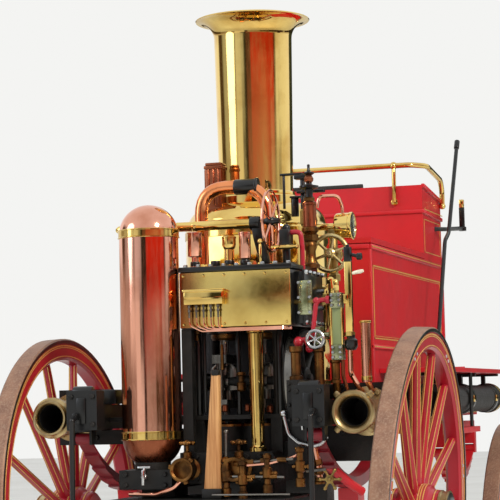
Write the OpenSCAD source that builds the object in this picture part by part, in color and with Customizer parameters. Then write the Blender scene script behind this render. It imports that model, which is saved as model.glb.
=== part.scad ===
// Horse-drawn steam fire engine: a vertical boiler with a rear steam pump on four wheels.
// Millimetres, +X to the vehicle's right, +Y forward, +Z up.
// Every place along Y is measured from the rear axle; at_axle() puts it in the part's frame.

/* [Rear wheels] */
// Radius of a rear wheel over its tyre
rear_r = 660; // [600:5:720]
// Distance between the mid planes of the rear wheels
rear_track = 1316; // [1290:1:1400]
// Number of spokes in a wheel
spokes = 14; // [12:2:16]
// Width of a tyre
tyre_w = 68; // [55:1:80]
// Thickness of a tyre
tyre_t = 16; // [10:1:22]
// Depth of the wooden rim under the tyre
felloe_d = 62; // [45:1:75]
// Thickness of a spoke along the rim
spoke_t = 32; // [24:1:38]
// Width of a spoke across the wheel
spoke_w = 42; // [34:1:50]
// Distance by which the spokes' feet stand inside the rim's plane
dish = 22; // [10:1:28]
// Lean of each wheel, its top outward, in degrees
camber = 2.8; // [0:0.2:4]
// Radius of the hub
hub_r = 114; // [108:1:120]
// Radius of the hub's outer end under its cap
nave_r = 96; // [88:1:104]
// Length of the hub each side of the wheel's mid plane
hub_half = 108; // [95:1:120]
// Radius of the axle's round arm
arm_r = 27; // [22:1:34]
// Running clearance around the axle's arm
arm_gap = 0.5; // [0.3:0.1:1]
// Side of the square rear axle beam
axle_side = 58; // [45:1:70]

/* [Front wheels] */
// Radius of a front wheel over its tyre
front_r = 475; // [440:5:485]
// Distance between the mid planes of the front wheels
front_track = 1180; // [1140:2:1240]
// Distance between the axles
wheelbase = 2150; // [2080:10:2300]

/* [Frame] */
// Distance from a rear wheel's mid plane in to the middle of a side rail
rail_inset = 247; // [243:1:255]
// Width of a side rail
rail_w = 44; // [36:1:52]
// Height of a side rail
rail_h = 85; // [70:1:95]
// Height of the top of the side rails
rail_top = 1075; // [1060:1:1090]
// Distance of the rails' rear ends behind the rear axle
rail_back = 500; // [480:1:520]
// Distance of the rails' front ends ahead of the front axle
rail_front = 190; // [170:1:240]
// Thickness of the bed plate under the engine
bed_t = 15; // [10:1:20]

/* [Springs] */
// Half the length of a rear spring between its eyes
rear_spring_half = 450; // [430:1:465]
// Fall of a rear spring from its eyes to its middle
rear_spring_drop = 155; // [140:1:165]
// Half the length of a front spring between its eyes
front_spring_half = 340; // [320:1:360]
// Fall of a front spring from its eyes to its middle
front_spring_drop = 110; // [100:1:120]
// Width of a spring leaf
leaf_w = 52; // [44:1:60]
// Thickness of a spring leaf
leaf_t = 8; // [6:1:10]
// Number of leaves in a spring
leaves = 5; // [3:1:6]
// Radius of a spring eye
eye_r = 20; // [16:1:24]

/* [Boiler] */
// Distance of the boiler's axis ahead of the rear axle
boiler_y = 300; // [295:1:306]
// Radius of the boiler's shell
boiler_r = 262; // [250:1:266]
// Height of the boiler's bottom ring above the ground
boiler_z0 = 450; // [420:1:480]
// Height of the shoulder where the cladding ends
boiler_z1 = 1715; // [1700:1:1730]
// Thickness of the brass cladding
clad_t = 8; // [6:1:10]
// Height at which the brass cladding starts
clad_z0 = 1110; // [1100:1:1200]
// Height of the domed cover over the shoulder
cover_h = 100; // [80:1:120]
// Radius of the firebox inside the shell
firebox_r = 215; // [200:1:225]
// Width of the fire hole
fire_w = 220; // [180:1:240]
// Height of the fire hole
fire_h = 180; // [150:1:200]

/* [Funnel] */
// Radius of the funnel's foot
funnel_r0 = 138; // [125:1:142]
// Radius of the funnel's neck under the bell
funnel_r1 = 147; // [140:1:155]
// Radius of the bell's lip
funnel_lip = 216; // [205:1:225]
// Height of the top of the funnel
funnel_top = 2510; // [2450:5:2560]
// Thickness of the funnel's wall
funnel_t = 4; // [3:1:6]

/* [Steam engine] */
// Left edge of the cylinder block
block_x0 = -88; // [-90:1:-80]
// Width of the cylinder block
block_w = 396; // [380:1:400]
// Distance of the block's rear face behind the rear axle
block_back = 350; // [345:1:360]
// Depth of the cylinder block
block_d = 330; // [300:1:340]
// Height of the bottom of the cylinder block
block_z0 = 1326; // [1315:1:1335]
// Height of the cylinder block
block_h = 196; // [180:1:205]
// Thickness of the black plate over the block
top_plate_t = 18; // [12:1:22]
// Radius of the flywheel
flywheel_r = 176; // [160:1:178]
// Width of the flywheel's rim
flywheel_w = 46; // [38:1:52]
// Radius of a pump barrel
barrel_r = 78; // [70:1:82]

/* [Pump and air vessel] */
// Bore of a suction inlet
suction_bore = 92; // [85:1:100]
// Wall of a suction inlet
suction_wall = 16; // [12:1:18]
// Reach of a suction inlet's lugs beyond its rim
lug_reach = 20; // [14:1:22]
// Outer radius of a suction inlet's rim
suction_rim_r = 71; // [68:1:74]
// Distance from a rear wheel's mid plane in to the middle of a suction inlet
suction_inset = 120; // [118:1:126]
// Distance of the suction inlets' faces behind the rear axle
suction_back = 455; // [440:1:470]
// Height of the suction inlets
suction_z = 1033; // [1028:1:1040]
// Radius of the air vessel
vessel_r = 103; // [95:1:105]
// Height of the top of the air vessel
vessel_top = 1763; // [1700:1:1800]
// Height of the bottom of the air vessel's bowl
vessel_bottom = 855; // [850:1:870]
// Distance from the middle of the part to the air vessel, to the left
vessel_x = 199; // [197:1:204]

/* [Hose box and seat] */
// Width of the hose box
box_w = 720; // [690:1:730]
// Distance of the hose box's rear wall ahead of the rear axle
box_y0 = 590; // [585:1:600]
// Length of the hose box, with the part under the seat
box_l = 1400; // [1380:5:1420]
// Height of the top of the hose box
box_top = 1672; // [1650:1:1690]
// Thickness of the hose box's boards
board = 22; // [18:1:26]
// Length of the driver's seat box
seat_l = 390; // [370:1:400]
// Height of the driver's seat box over the hose box
seat_h = 325; // [300:1:340]
// Thickness of the lid
lid_t = 22; // [18:1:26]
// Height of the footboards' top above the ground
foot_z = 1190; // [1180:1:1200]
// Reach of a footboard beyond the middle of its suction hose
foot_reach = 75; // [68:1:78]
// Thickness of a footboard
foot_t = 18; // [14:1:22]
// Radius of a suction hose
hose_r = 57; // [50:1:58]
// Distance from the middle of a side rail out to a suction hose
hose_offset = 137; // [134:1:141]
// Height of the middle of a suction hose
hose_z = 1065; // [1060:1:1072]

/* [Hidden] */
$fn = 48;
round_fn = 96;

red = "#c4202b";
brass = "#c9a24a";
copper = "#b8694a";
iron = "#1d1f1e";
wood = "#b07a3c";
leather = "#22201f";

// Derived places
wing_fall = 40;
toe_reach = 460;
toe_z = foot_z - foot_t;
lug_ring = [45 : 90 : 315];
seat_wall = 25;
roll_x = 89;
front_reach = 560;
rail_x = rear_track / 2 - rail_inset;
suction_x = rear_track / 2 - suction_inset;
gauge_x = suction_x - 90;
column_x = gauge_x + 37;
gauge_z = block_z0 + 82;
gauge_half = 20;
column_z = block_z0 - 36;
gauge_r = 48;
hose_x = rail_x + hose_offset;
foot_x = hose_x + foot_reach;
pump_top = 905;
pump_z0 = 800;
arm_y0 = -232;
tray_z = 745;
fire_z0 = boiler_z0 + 200;
casing_top = 1955;
rear_axle_y = -(wheelbase + front_reach - rear_r) / 2;
boiler_out = boiler_r + clad_t;
crank_z = block_z0 - flywheel_r - 4;
sliver = 0.3;
bed_z = rail_top - 60;
engine_y = -170;
rod_x = [10, 150];
delivery_x = [-58, 125];
shaft_r = 20;
ray_y = -block_back + 40;
rail_bottom = rail_top - rail_h;
rail_in = rail_x - rail_w / 2;
rail_out = rail_x + rail_w / 2;
drop_x = rail_x + 7;
rear_z = rear_r * cos(camber) + tyre_w / 2 * sin(camber);
front_z = front_r * cos(camber) + tyre_w / 2 * sin(camber);
beam_half = rear_track / 2 - hub_half - 6;
front_beam_half = front_track / 2 - hub_half - 6;
block_x1 = block_x0 + block_w;
block_z1 = block_z0 + block_h;
block_top = block_z1 + top_plate_t;
box_x = box_w / 2;
box_y1 = box_y0 + box_l;
seat_y0 = box_y1 - seat_l;
seat_top = box_top + seat_h;
seat_board = seat_top - 107;
cover_z = boiler_z1 + cover_h;
bell_r = funnel_lip - funnel_r1;
ring_t = 15;
ring_z = rail_bottom - 2 * ring_t;

module at_axle() {
    translate([0, rear_axle_y, 0]) children();
}

// Round bar from point a to point b
module rod(a, b, r) {
    d = b - a;
    l = norm(d);
    translate(a) rotate([0, acos(d[2] / l), atan2(d[1], d[0])]) cylinder(h = l, r = r);
}

// Round bar through a list of points with ball corners
module bent_rod(points, r) {
    for (i = [0 : len(points) - 2]) rod(points[i], points[i + 1], r);
    for (i = [1 : len(points) - 2]) translate(points[i]) sphere(r = r + 0.6);
}

module box(a, b) {
    translate(a) cube(b - a);
}

// Cylinder along X, from x0 to x1
module x_cylinder(x0, x1, y, z, r) {
    translate([x0, y, z]) rotate([0, 90, 0]) cylinder(h = x1 - x0, r = r);
}

// Cylinder along Y, from y0 to y1
module y_cylinder(x, y0, y1, z, r) {
    translate([x, y0, z]) rotate([-90, 0, 0]) cylinder(h = y1 - y0, r = r);
}

// Frame of a wheel's own axis: +Z points outward along the leaning axle
module wheel_frame(side, track, y, z) {
    translate([side * track / 2, y, z]) rotate([0, side * (90 + camber), 0]) children();
}

// Wooden wheel with its iron tyre: flat bars stand for the shaped spokes
module wheel(r) {
    inner_r = r - tyre_t - felloe_d;
    difference() {
        union() {
            difference() {
                translate([0, 0, -tyre_w / 2]) cylinder(h = tyre_w, r = r, $fn = round_fn);
                translate([0, 0, -tyre_w]) cylinder(h = 2 * tyre_w, r = inner_r, $fn = round_fn);
            }
            translate([0, 0, -hub_half]) cylinder(h = 1.5 * hub_half, r = hub_r, $fn = round_fn);
            translate([0, 0, -hub_half]) cylinder(h = 2 * hub_half, r = nave_r, $fn = round_fn);
            for (i = [0 : spokes - 1]) rotate([0, 0, 360 / spokes * (i + 0.5)])
                translate([0, 0, -dish]) rotate([0, -asin(dish / inner_r), 0])
                    translate([hub_r - 20, -spoke_t / 2, -spoke_w / 2])
                        cube([inner_r - hub_r + 30, spoke_t, spoke_w]);
        }
        translate([0, 0, -hub_half - 1]) cylinder(h = 2 * hub_half - 9, r = arm_r + arm_gap);
    }
}

// Round arm on which a wheel turns, with its collar at the beam
module axle_arm(side, track, y, z) {
    wheel_frame(side, track, y, z) {
        translate([0, 0, -hub_half - 18]) cylinder(h = 2 * hub_half + 4, r = arm_r);
        translate([0, 0, -hub_half - 18]) cylinder(h = 18 - arm_gap, r = arm_r + 20);
    }
}

// One side view of a spring, its middle at the origin's height below the eyes
module spring(half, drop, y, z_eye, x) {
    arc_r = (half * half + drop * drop) / (2 * drop);
    zc = z_eye - drop + arc_r;
    reach = asin(half / arc_r);
    translate([x - leaf_w / 2, y, zc]) rotate([90, 0, 90]) linear_extrude(leaf_w)
        for (i = [0 : leaves - 1]) {
            a = reach * (1 - i / (leaves + 1));
            intersection() {
                difference() {
                    circle(r = arc_r + (i + 1) * leaf_t, $fn = 180);
                    circle(r = arc_r + i * leaf_t, $fn = 180);
                }
                polygon([[0, 0], [-2 * arc_r * sin(a), -2 * arc_r * cos(a)],
                    [2 * arc_r * sin(a), -2 * arc_r * cos(a)]]);
            }
        }
    for (s = [-1, 1]) x_cylinder(x - leaf_w / 2, x + leaf_w / 2, y + s * half, z_eye, eye_r);
}

// Two cheeks and a pin that hold a spring's eye under a rail
module spring_hanger(x, y, z_eye, z_top) {
    cheek = 8;
    side_gap = leaf_w / 2 + sliver;
    for (s = [-1, 1]) box([x + s * (side_gap + cheek / 2) - cheek / 2, y - eye_r, z_eye - eye_r],
        [x + s * (side_gap + cheek / 2) + cheek / 2, y + eye_r, z_top]);
    box([x - side_gap - cheek, y - eye_r, z_eye + eye_r + 3], [x + side_gap + cheek, y + eye_r, z_top]);
}

eye_z = rail_bottom - eye_r - 10;
rear_spring_bottom = eye_z - rear_spring_drop - leaves * leaf_t;
front_eye_z = 830;
front_spring_bottom = front_eye_z - front_spring_drop - leaves * leaf_t;
front_spring_x = 360;

module frame_rails() color(red) at_axle() {
    casting_x = [rail_in - 45, rail_out + 22];
    casting_l = 74;
    drop_r = 9;
    drop_bend = rail_top - 35;
    drop_z = rail_top - 375;
    for (s = [-1, 1]) {
        box([s * rail_x - rail_w / 2, -rail_back, rail_bottom],
            [s * rail_x + rail_w / 2, wheelbase + rail_front, rail_top]);
        // Black casting round the rail's rear end and the drop iron on it
        box([s > 0 ? casting_x[0] : -casting_x[1], -rail_back, rail_bottom],
            [s > 0 ? casting_x[1] : -casting_x[0], -rail_back + casting_l, rail_top + 50]);
        bent_rod([[s * drop_x, -rail_back + 5, drop_bend], [s * drop_x, -rail_back - 42, drop_bend - 18],
            [s * drop_x, -rail_back - 48, drop_z]], drop_r);
        for (y = [-rear_spring_half, rear_spring_half]) spring_hanger(s * rail_x, y, eye_z, rail_bottom);
    }
    // Middle and front cross members
    for (y = [box_y0 + 30, wheelbase + rail_front - 50])
        box([-rail_in, y, rail_bottom], [rail_in, y + 40, rail_top - 15]);
    // Bolster with the upper ring of the turntable and the king pin
    box([-rail_in, wheelbase - 60, rail_bottom - 1], [rail_in, wheelbase + 60, rail_top - 15]);
    translate([0, wheelbase, ring_z + ring_t + sliver]) difference() {
        cylinder(h = rail_bottom - ring_z - ring_t - sliver, r = 320, $fn = round_fn);
        translate([0, 0, -1]) cylinder(h = 60, r = 270, $fn = round_fn);
    }
    translate([0, wheelbase, ring_z - 45]) cylinder(h = rail_bottom - ring_z + 50, r = 22);
    translate([0, wheelbase, ring_z - 55]) cylinder(h = 12, r = 34);
}

module rear_axle() color(red) at_axle() {
    box([-beam_half, -axle_side / 2, rear_z - axle_side / 2],
        [beam_half, axle_side / 2, rear_z + axle_side / 2]);
    for (s = [-1, 1]) {
        axle_arm(s, rear_track, 0, rear_z);
        box([s * rail_x - 36, -45, rear_z + axle_side / 2 - 1],
            [s * rail_x + 36, 45, rear_spring_bottom]);
    }
}

module rear_springs() color(red) at_axle() {
    for (s = [-1, 1]) spring(rear_spring_half, rear_spring_drop, 0, eye_z, s * rail_x);
}

module boiler_shell() color(iron) at_axle() {
    difference() {
        union() {
            translate([0, boiler_y, boiler_z0])
                cylinder(h = boiler_z1 - boiler_z0, r = boiler_r, $fn = round_fn);
            for (s = [-1, 1]) box([s > 0 ? boiler_r - 30 : -rail_in, boiler_y - 60, rail_bottom + 5],
                [s > 0 ? rail_in : 30 - boiler_r, boiler_y + 60, rail_bottom + 25]);
            box([-fire_w / 2 - 28, boiler_y + boiler_r - 60, fire_z0 - 28],
                [fire_w / 2 + 28, boiler_y + boiler_r + 24, fire_z0 + fire_h + 28]);
            for (z = [fire_z0 - 20, fire_z0 + fire_h + 2])
                box([-fire_w / 2 - 58, boiler_y + boiler_r + 6, z],
                    [-fire_w / 2 - 20, boiler_y + boiler_r + 40, z + 18]);
        }
        translate([0, boiler_y, boiler_z0 - 1]) cylinder(h = 451, r = firebox_r, $fn = round_fn);
        box([-fire_w / 2, boiler_y + 100, fire_z0],
            [fire_w / 2, boiler_y + boiler_r + 60, fire_z0 + fire_h]);
    }
    translate([-fire_w / 2 - 44, boiler_y + boiler_r + 30, fire_z0 - 20])
        cylinder(h = fire_h + 40, r = 6);
}

module fire_door() color(iron) at_axle() {
    y = boiler_y + boiler_r + 30;
    difference() {
        union() {
            box([-fire_w / 2 - 44, y - 5, fire_z0 - 0.5], [fire_w / 2 + 20, y + 5, fire_z0 + fire_h]);
            translate([-fire_w / 2 - 44, y, fire_z0]) cylinder(h = fire_h, r = 11);
            box([fire_w / 2 - 20, y + 4, fire_z0 + 80], [fire_w / 2 + 10, y + 30, fire_z0 + 100]);
        }
        translate([-fire_w / 2 - 44, y, fire_z0 - 5]) cylinder(h = fire_h + 10, r = 6.4);
    }
}

module boiler_cladding() color(brass) at_axle() {
    translate([0, boiler_y, clad_z0]) difference() {
        cylinder(h = boiler_z1 - clad_z0, r = boiler_out, $fn = round_fn);
        translate([0, 0, -1]) cylinder(h = boiler_z1, r = boiler_r + sliver, $fn = round_fn);
    }
}

module boiler_cover() color(brass) at_axle() {
    foot = funnel_r0 + 14;
    translate([0, boiler_y, boiler_z1]) {
        rotate_extrude($fn = round_fn) polygon(concat([[0, 0], [boiler_out, 0]],
            [for (a = [10 : 10 : 80]) [foot + (boiler_out - foot) * cos(a), cover_h * 0.9 * sin(a)]],
            [[foot, cover_h], [0, cover_h]]));
    }
    // Casing of the lock-up safety valve beside the funnel
    box([-135, 90, boiler_z1], [-70, 155, casing_top]);
}

module ash_pan() color(iron) at_axle() {
    translate([0, boiler_y, boiler_z0 - 70]) difference() {
        cylinder(h = 70, r = boiler_r, $fn = round_fn);
        translate([0, 0, 8]) cylinder(h = 63, r = boiler_r - 8, $fn = round_fn);
    }
}

module funnel() color(brass) at_axle() {
    neck_z = funnel_top - bell_r;
    arc = [for (a = [0 : 15 : 90]) [funnel_lip - bell_r * cos(a), neck_z + bell_r * sin(a)]];
    inner = [for (i = [len(arc) - 1 : -1 : 0]) [arc[i][0] - funnel_t * cos(i * 15),
        arc[i][1] + funnel_t * sin(i * 15)]];
    translate([0, boiler_y, 0]) rotate_extrude($fn = round_fn) polygon(concat(
        [[funnel_r0, cover_z]], arc, inner, [[funnel_r0 - funnel_t, cover_z]]));
}

module exhaust_pipe() color(copper) at_axle() {
    x0 = block_x0 + 2;
    x1 = block_x0 + 250;
    y = -100;
    z = block_top + 297;
    bent_rod([[x0, y, block_top], [x0, y, z - 112], [x0 + 33, y, z - 33], [x0 + 112, y, z],
        [x1 - 100, y, z],
        [x1 - 29, y, z - 33], [x1, y, z - 105], [x1, y, block_top]], 24);
}

module steam_cylinders() color(iron) at_axle() {
    y1 = -block_back + block_d;
    box([block_x0, -block_back, block_z0], [block_x1, y1, block_z1]);
    box([block_x0 - 3, -block_back - 12, block_z1], [block_x1 + 8, y1, block_top]);
    // Bracket to the boiler
    difference() {
        box([40, y1 - 1, block_z0 + 40], [160, boiler_y - 100, block_z0 + 90]);
        translate([0, boiler_y, block_z0]) cylinder(h = 200, r = boiler_out + sliver, $fn = round_fn);
    }
}

module cylinder_lagging() color(brass) at_axle() {
    box([block_x0, -block_back - 6, block_z0 + 4], [block_x1, -block_back, block_z1]);
}

module lubricators() color(brass) at_axle() {
    y = -block_back - 6;
    box_z = block_z0 + 80;
    box([-63, y - 34, box_z], [77, y, box_z + 54]);
    for (i = [0 : 4]) rod([-50 + 26 * i, y - 12, box_z + 2], [-50 + 26 * i, y - 12, box_z - 40], 4);
    // Oil cups on their necks: place along X, radius, bottom and top of the cup over the plate
    for (cup = [[-44, 25, 36, 124], [80, 24, 59, 104], [137, 20, 22, 117]])
        translate([cup[0], ray_y, block_top]) {
        cylinder(h = cup[2] + 1, r = 11);
        translate([0, 0, cup[2]]) cylinder(h = cup[3] - cup[2], r = cup[1]);
    }
}

module rear_handrail() color(brass) at_axle() {
    z = 1692;
    y = -block_back + vessel_r + 20;
    x_cylinder(-345, 150, y, z, 16);
    translate([-345, y, z]) sphere(r = 24);
    box([136, y - 18, block_top], [160, y + 18, z + 14]);
    box([-80, y - 9, block_top], [-60, y + 9, z]);
}

module engine_frame() color(iron) at_axle() {
    y0 = ray_y + 45;
    // Corner column from the pump's top to the block
    box([block_x0, -block_back + 5, pump_top], [block_x0 + 36, -block_back + 35, block_z0]);
    difference() {
        box([-rail_in, y0, bed_z], [rail_in, -20, bed_z + bed_t]);
        translate([-vessel_x, -block_back, bed_z - 1]) cylinder(h = bed_t + 2, r = vessel_r + 8);
        box([250, y0 - 1, bed_z - 1], [330, -30, bed_z + bed_t + 1]);
        for (x = rod_x) translate([x, engine_y, bed_z - 1]) cylinder(h = bed_t + 2, r = 16);
    }
    for (x = [-70, 225]) {
        for (y = [y0 + 18, -45]) translate([x, y, bed_z + bed_t])
            cylinder(h = block_z0 - bed_z - bed_t, r = 15);
        // Bearing of the crankshaft between the pillars
        difference() {
            box([x - 14, y0 + 10, crank_z - 30], [x + 14, -40, crank_z + 30]);
            x_cylinder(x - 15, x + 15, engine_y, crank_z, shaft_r + sliver);
        }
    }
}

module ram_column() color(brass) at_axle() {
    translate([168, ray_y, pump_top]) cylinder(h = block_z0 - pump_top, r1 = 22, r2 = 27);
    translate([168, ray_y, pump_top]) cylinder(h = 14, r = 31);
}

module flywheel() color(iron) at_axle() {
    x = 268;
    difference() {
        x_cylinder(x, x + flywheel_w, engine_y, crank_z, flywheel_r, $fn = round_fn);
        x_cylinder(x - 1, x + flywheel_w + 1, engine_y, crank_z, flywheel_r - 34, $fn = round_fn);
    }
    x_cylinder(x, x + flywheel_w, engine_y, crank_z, 42);
    for (a = [0 : 60 : 150]) translate([x + flywheel_w / 2, engine_y, crank_z]) rotate([a, 0, 0])
        box([-9, -flywheel_r + 30, -12], [9, flywheel_r - 30, 12]);
    x_cylinder(-110, x + flywheel_w + 12, engine_y, crank_z, shaft_r);
}

module motion_rods() color("#9a9a96") at_axle() {
    yoke = 50;
    for (x = rod_x) {
        rod([x, engine_y, crank_z + 90], [x, engine_y, block_z0], 15);
        rod([x, engine_y, pump_top + 85], [x, engine_y, crank_z - 90], 15);
        for (s = [-1, 1]) {
            box([x - 26, engine_y - yoke - 14, crank_z + s * 78 - 15],
                [x + 26, engine_y + yoke + 14, crank_z + s * 78 + 15]);
            rod([x, engine_y + s * yoke, crank_z - 80], [x, engine_y + s * yoke, crank_z + 80], 11);
        }
    }
}

module pump_body() color(iron) at_axle() {
    for (x = rod_x) translate([x, engine_y, pump_z0]) cylinder(h = pump_top + 85 - pump_z0, r = barrel_r);
    box([-95, ray_y - 55, pump_z0], [235, engine_y + 80, pump_top]);
    // Suction arms under the rails and their end boxes outside
    arm_x = suction_x + 54;
    for (s = [-1, 1]) {
        low = s > 0 ? 865 : 935;
        box([s > 0 ? 150 : -arm_x, arm_y0, low],
            [s > 0 ? arm_x : -10, arm_y0 + 112, s > 0 ? 935 : rail_bottom - 5]);
        box([s > 0 ? rail_in - 59 : -arm_x, arm_y0, low],
            [s > 0 ? arm_x : -rail_in, arm_y0 + 112, rail_bottom - 5]);
        box([s > 0 ? rail_out + 1 : -arm_x, arm_y0, low],
            [s > 0 ? arm_x : -rail_out - 1, arm_y0 + 112, 1130]);
    }
    // Valve box ahead of the right inlet's arm
    box([rail_in - 84, -block_back - 70, 865], [rail_in - 17, -block_back - 4, 1143]);
    box([rail_in - 70, -block_back - 5, 865], [rail_in - 30, arm_y0 + 1, 930]);
    // Delivery chamber under the air vessel
    box([-vessel_x - 95, -block_back - 80, pump_z0 - 15], [-vessel_x + 95, -120, 850]);
    box([-vessel_x, ray_y - 30, pump_z0], [-60, -120, 850]);
    difference() {
        translate([-vessel_x, -block_back, 849]) cylinder(h = 30, r = 62);
        translate([-vessel_x, -block_back, vessel_bottom + vessel_r])
            sphere(r = vessel_r + sliver, $fn = round_fn);
    }
    // Feet up to the bed plate
    for (x = [-60, 220]) box([x - 20, ray_y + 50, pump_top - 5], [x + 20, engine_y + 60, bed_z]);
    // Tray under the pump
    box([-310, -500, tray_z], [310, -120, tray_z + 8]);
    for (x = [-200, 160]) box([x - 60, -300, tray_z + 7], [x + 60, -160, pump_z0 + 5]);
}

module suction_inlet(s) {
    x = s * suction_x;
    color(brass) at_axle() difference() {
        union() {
            y_cylinder(x, -suction_back, arm_y0, suction_z, suction_bore / 2 + suction_wall);
            y_cylinder(x, -suction_back, -suction_back + 45, suction_z, suction_rim_r);
            if (s > 0) for (a = lug_ring) translate([x, -suction_back + 12, suction_z]) rotate([0, a, 0])
                box([0, 0, -10], [suction_rim_r + lug_reach, 20, 10]);
        }
        y_cylinder(x, -suction_back - 1, arm_y0 - 20, suction_z, suction_bore / 2);
    }
}
module suction_inlet_left() suction_inlet(-1);
module suction_inlet_right() suction_inlet(1);

module delivery_valves() color(brass) at_axle() {
    y = ray_y - 55;
    for (x = delivery_x) {
        y_cylinder(x, y - 60, y, 850, 30);
        difference() {
            y_cylinder(x, y - 100, y - 60, 850, 40);
            y_cylinder(x, y - 101, y - 66, 850, 30);
        }
        translate([x, y - 30, 850]) cylinder(h = 85, r = 9);
        translate([x, y - 30, 932]) cylinder(h = 10, r = 28);
    }
}

module air_vessel() color(copper) at_axle() {
    z0 = vessel_bottom + vessel_r;
    z1 = vessel_top - vessel_r;
    translate([-vessel_x, -block_back, 0]) {
        translate([0, 0, z0]) cylinder(h = z1 - z0, r = vessel_r, $fn = round_fn);
        for (z = [z0, z1]) {
            translate([0, 0, z]) sphere(r = vessel_r, $fn = round_fn);
            translate([0, 0, z - 16]) cylinder(h = 32, r = vessel_r + 4, $fn = round_fn);
        }
    }
}

module safety_valve_stand() color(iron) at_axle() {
    translate([block_x1 - 8, -50, block_top]) {
        cylinder(h = 14, r = 32);
        cylinder(h = 236, r = 23);
        translate([0, 0, 284]) cylinder(h = 12, r = 33);
        cylinder(h = 370, r = 12);
    }
}

module regulator_wheel() color(iron) at_axle() {
    x = 212;
    y = -block_back + vessel_r + 20;
    z = 1700;
    difference() {
        x_cylinder(x - 7, x + 7, y, z, 112, $fn = round_fn);
        x_cylinder(x - 8, x + 8, y, z, 100, $fn = round_fn);
    }
    x_cylinder(x - 20, x + 30, y, z, 34);
    for (a = [30 : 60 : 150]) translate([x, y, z]) rotate([a, 0, 0]) box([-5, -104, -7], [5, 104, 7]);
    x_cylinder(160, x, y, z, 11);
    x_cylinder(x, x + 95, y, z - 75, 9);
}

module feed_wheel() color(brass) at_axle() {
    x = 357;
    z = 1594;
    r = 70;
    difference() {
        y_cylinder(x, -14, -3, z, r, $fn = round_fn);
        y_cylinder(x, -15, -2, z, r - 10, $fn = round_fn);
    }
    for (a = [30 : 60 : 150]) translate([x, -8, z]) rotate([0, a, 0])
        box([-r + 6, -4, -5], [r - 6, 4, 5]);
    y_cylinder(x, -20, 40, z, 13);
    box([block_x1, -60, z - 150], [x + 13, -40, z - 120]);
    box([x - 13, -60, z - 150], [x + 13, 34, z - 120]);
    box([x - 13, 10, z - 150], [x + 13, 34, z + 13]);
}

module pressure_gauge() color(brass) at_axle() {
    x = block_x1 + 60;
    y = 60;
    z = block_top + 153;
    x_cylinder(x, x + 64, y, z, gauge_r);
    difference() {
        x_cylinder(100, x + 2, y, z, 12);
        translate([0, boiler_y, z - 20]) cylinder(h = 40, r = boiler_out + sliver, $fn = round_fn);
    }
}

// Two bolted blocks joined by the flat case of the glass, and a column on their right
module water_gauge() color(iron) at_axle() {
    low = gauge_z - 175;
    half_h = 26;
    for (z = [low, gauge_z]) box([gauge_x - gauge_half, ray_y - 20, z - half_h],
        [gauge_x + gauge_half, ray_y + 20, z + half_h]);
    box([gauge_x - 17, ray_y - 14, low], [gauge_x + 17, ray_y + 2, gauge_z]);
    translate([column_x, ray_y, column_z]) cylinder(h = 245, r = 16);
    box([gauge_x + gauge_half - 1, ray_y - 12, gauge_z - 8], [column_x + 5, ray_y + 12, gauge_z + 16]);
    box([block_x1, ray_y - 6, gauge_z - 12], [gauge_x - gauge_half + 1, ray_y + 18, gauge_z + 12]);
}

// Upright rod beside the block and the cranked rod from the water gauge to its two knobs
module linkage_rods() color(red) at_axle() {
    rod_r = 9;
    upright = [block_x1 + 22, -120];
    rod([upright[0], upright[1], block_z0 - 26], [upright[0], upright[1], block_z1 + 178], rod_r);
    box([block_x1, upright[1] - 15, block_z1 - 42], [upright[0] + 10, upright[1] + 15, block_z1 - 12]);
    y = ray_y - 20;
    knob = [block_x1 + 12, y, gauge_z - 146];
    low_knob = [knob[0] + 42, y, knob[2] - 30];
    bent_rod([[gauge_x - gauge_half, y, gauge_z], [gauge_x - 74, y, gauge_z],
        [gauge_x - 90, y, knob[2] + 10], knob], rod_r);
    translate(knob) sphere(r = 18);
    rod(knob + [30, 0, 6], low_knob, rod_r);
    translate(low_knob) sphere(r = 15);
}

module copper_pipes() color(copper) at_axle() {
    x = suction_x + 22;
    y = ray_y;
    z = suction_z + 72;
    difference() {
        translate([x, y - 20, z + 25]) cylinder(h = 205, r = 17);
        translate([x, y - 20, z + 35]) cylinder(h = 200, r = 13);
    }
    bent_rod([[x, y - 20, z + 36], [x, y + 48, z], [x, arm_y0, z]], 10);
    bent_rod([[column_x, y, column_z], [column_x, y, z + 75], [x - 40, y + 48, z],
        [x - 40, arm_y0, z]], 9);
}

// Tapered plank leaning forward in its shoe on the tray
module wooden_post() color(wood) at_axle() {
    foot = [20, -470, tray_z + 8];
    lean = 4.5;
    box([16, foot[1] - 5, tray_z + 8], [84, foot[1] + 37, tray_z + 42]);
    translate(foot + [0, 0, 8]) rotate([-lean, 0, 0]) translate([0, 30, 0]) rotate([90, 0, 0])
        linear_extrude(30) polygon([[0, 0], [60, 0], [62, 408], [36, 408]]);
}

module hose_box() color(red) at_axle() difference() {
    box([-box_x, box_y0, rail_top], [box_x, box_y1, box_top]);
    box([-box_x + board, box_y0 + board, rail_top + board],
        [box_x - board, seat_y0 - board, box_top + 1]);
}

module hose_box_lid() color(red) at_axle() {
    box([-box_x - 10, box_y0 - 8, box_top + 0.5], [box_x + 10, seat_y0 - 24, box_top + 0.5 + lid_t]);
    for (x = [-220, 220]) difference() {
        union() {
            x_cylinder(x - 30, x + 30, seat_y0 - 10, box_top + lid_t + 8, 8);
            box([x - 30, seat_y0 - 40, box_top + lid_t - 4], [x + 30, seat_y0 - 10, box_top + lid_t + 8]);
        }
        x_cylinder(x - 31, x + 31, seat_y0 - 10, box_top + lid_t + 8, 4.4);
    }
}

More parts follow.
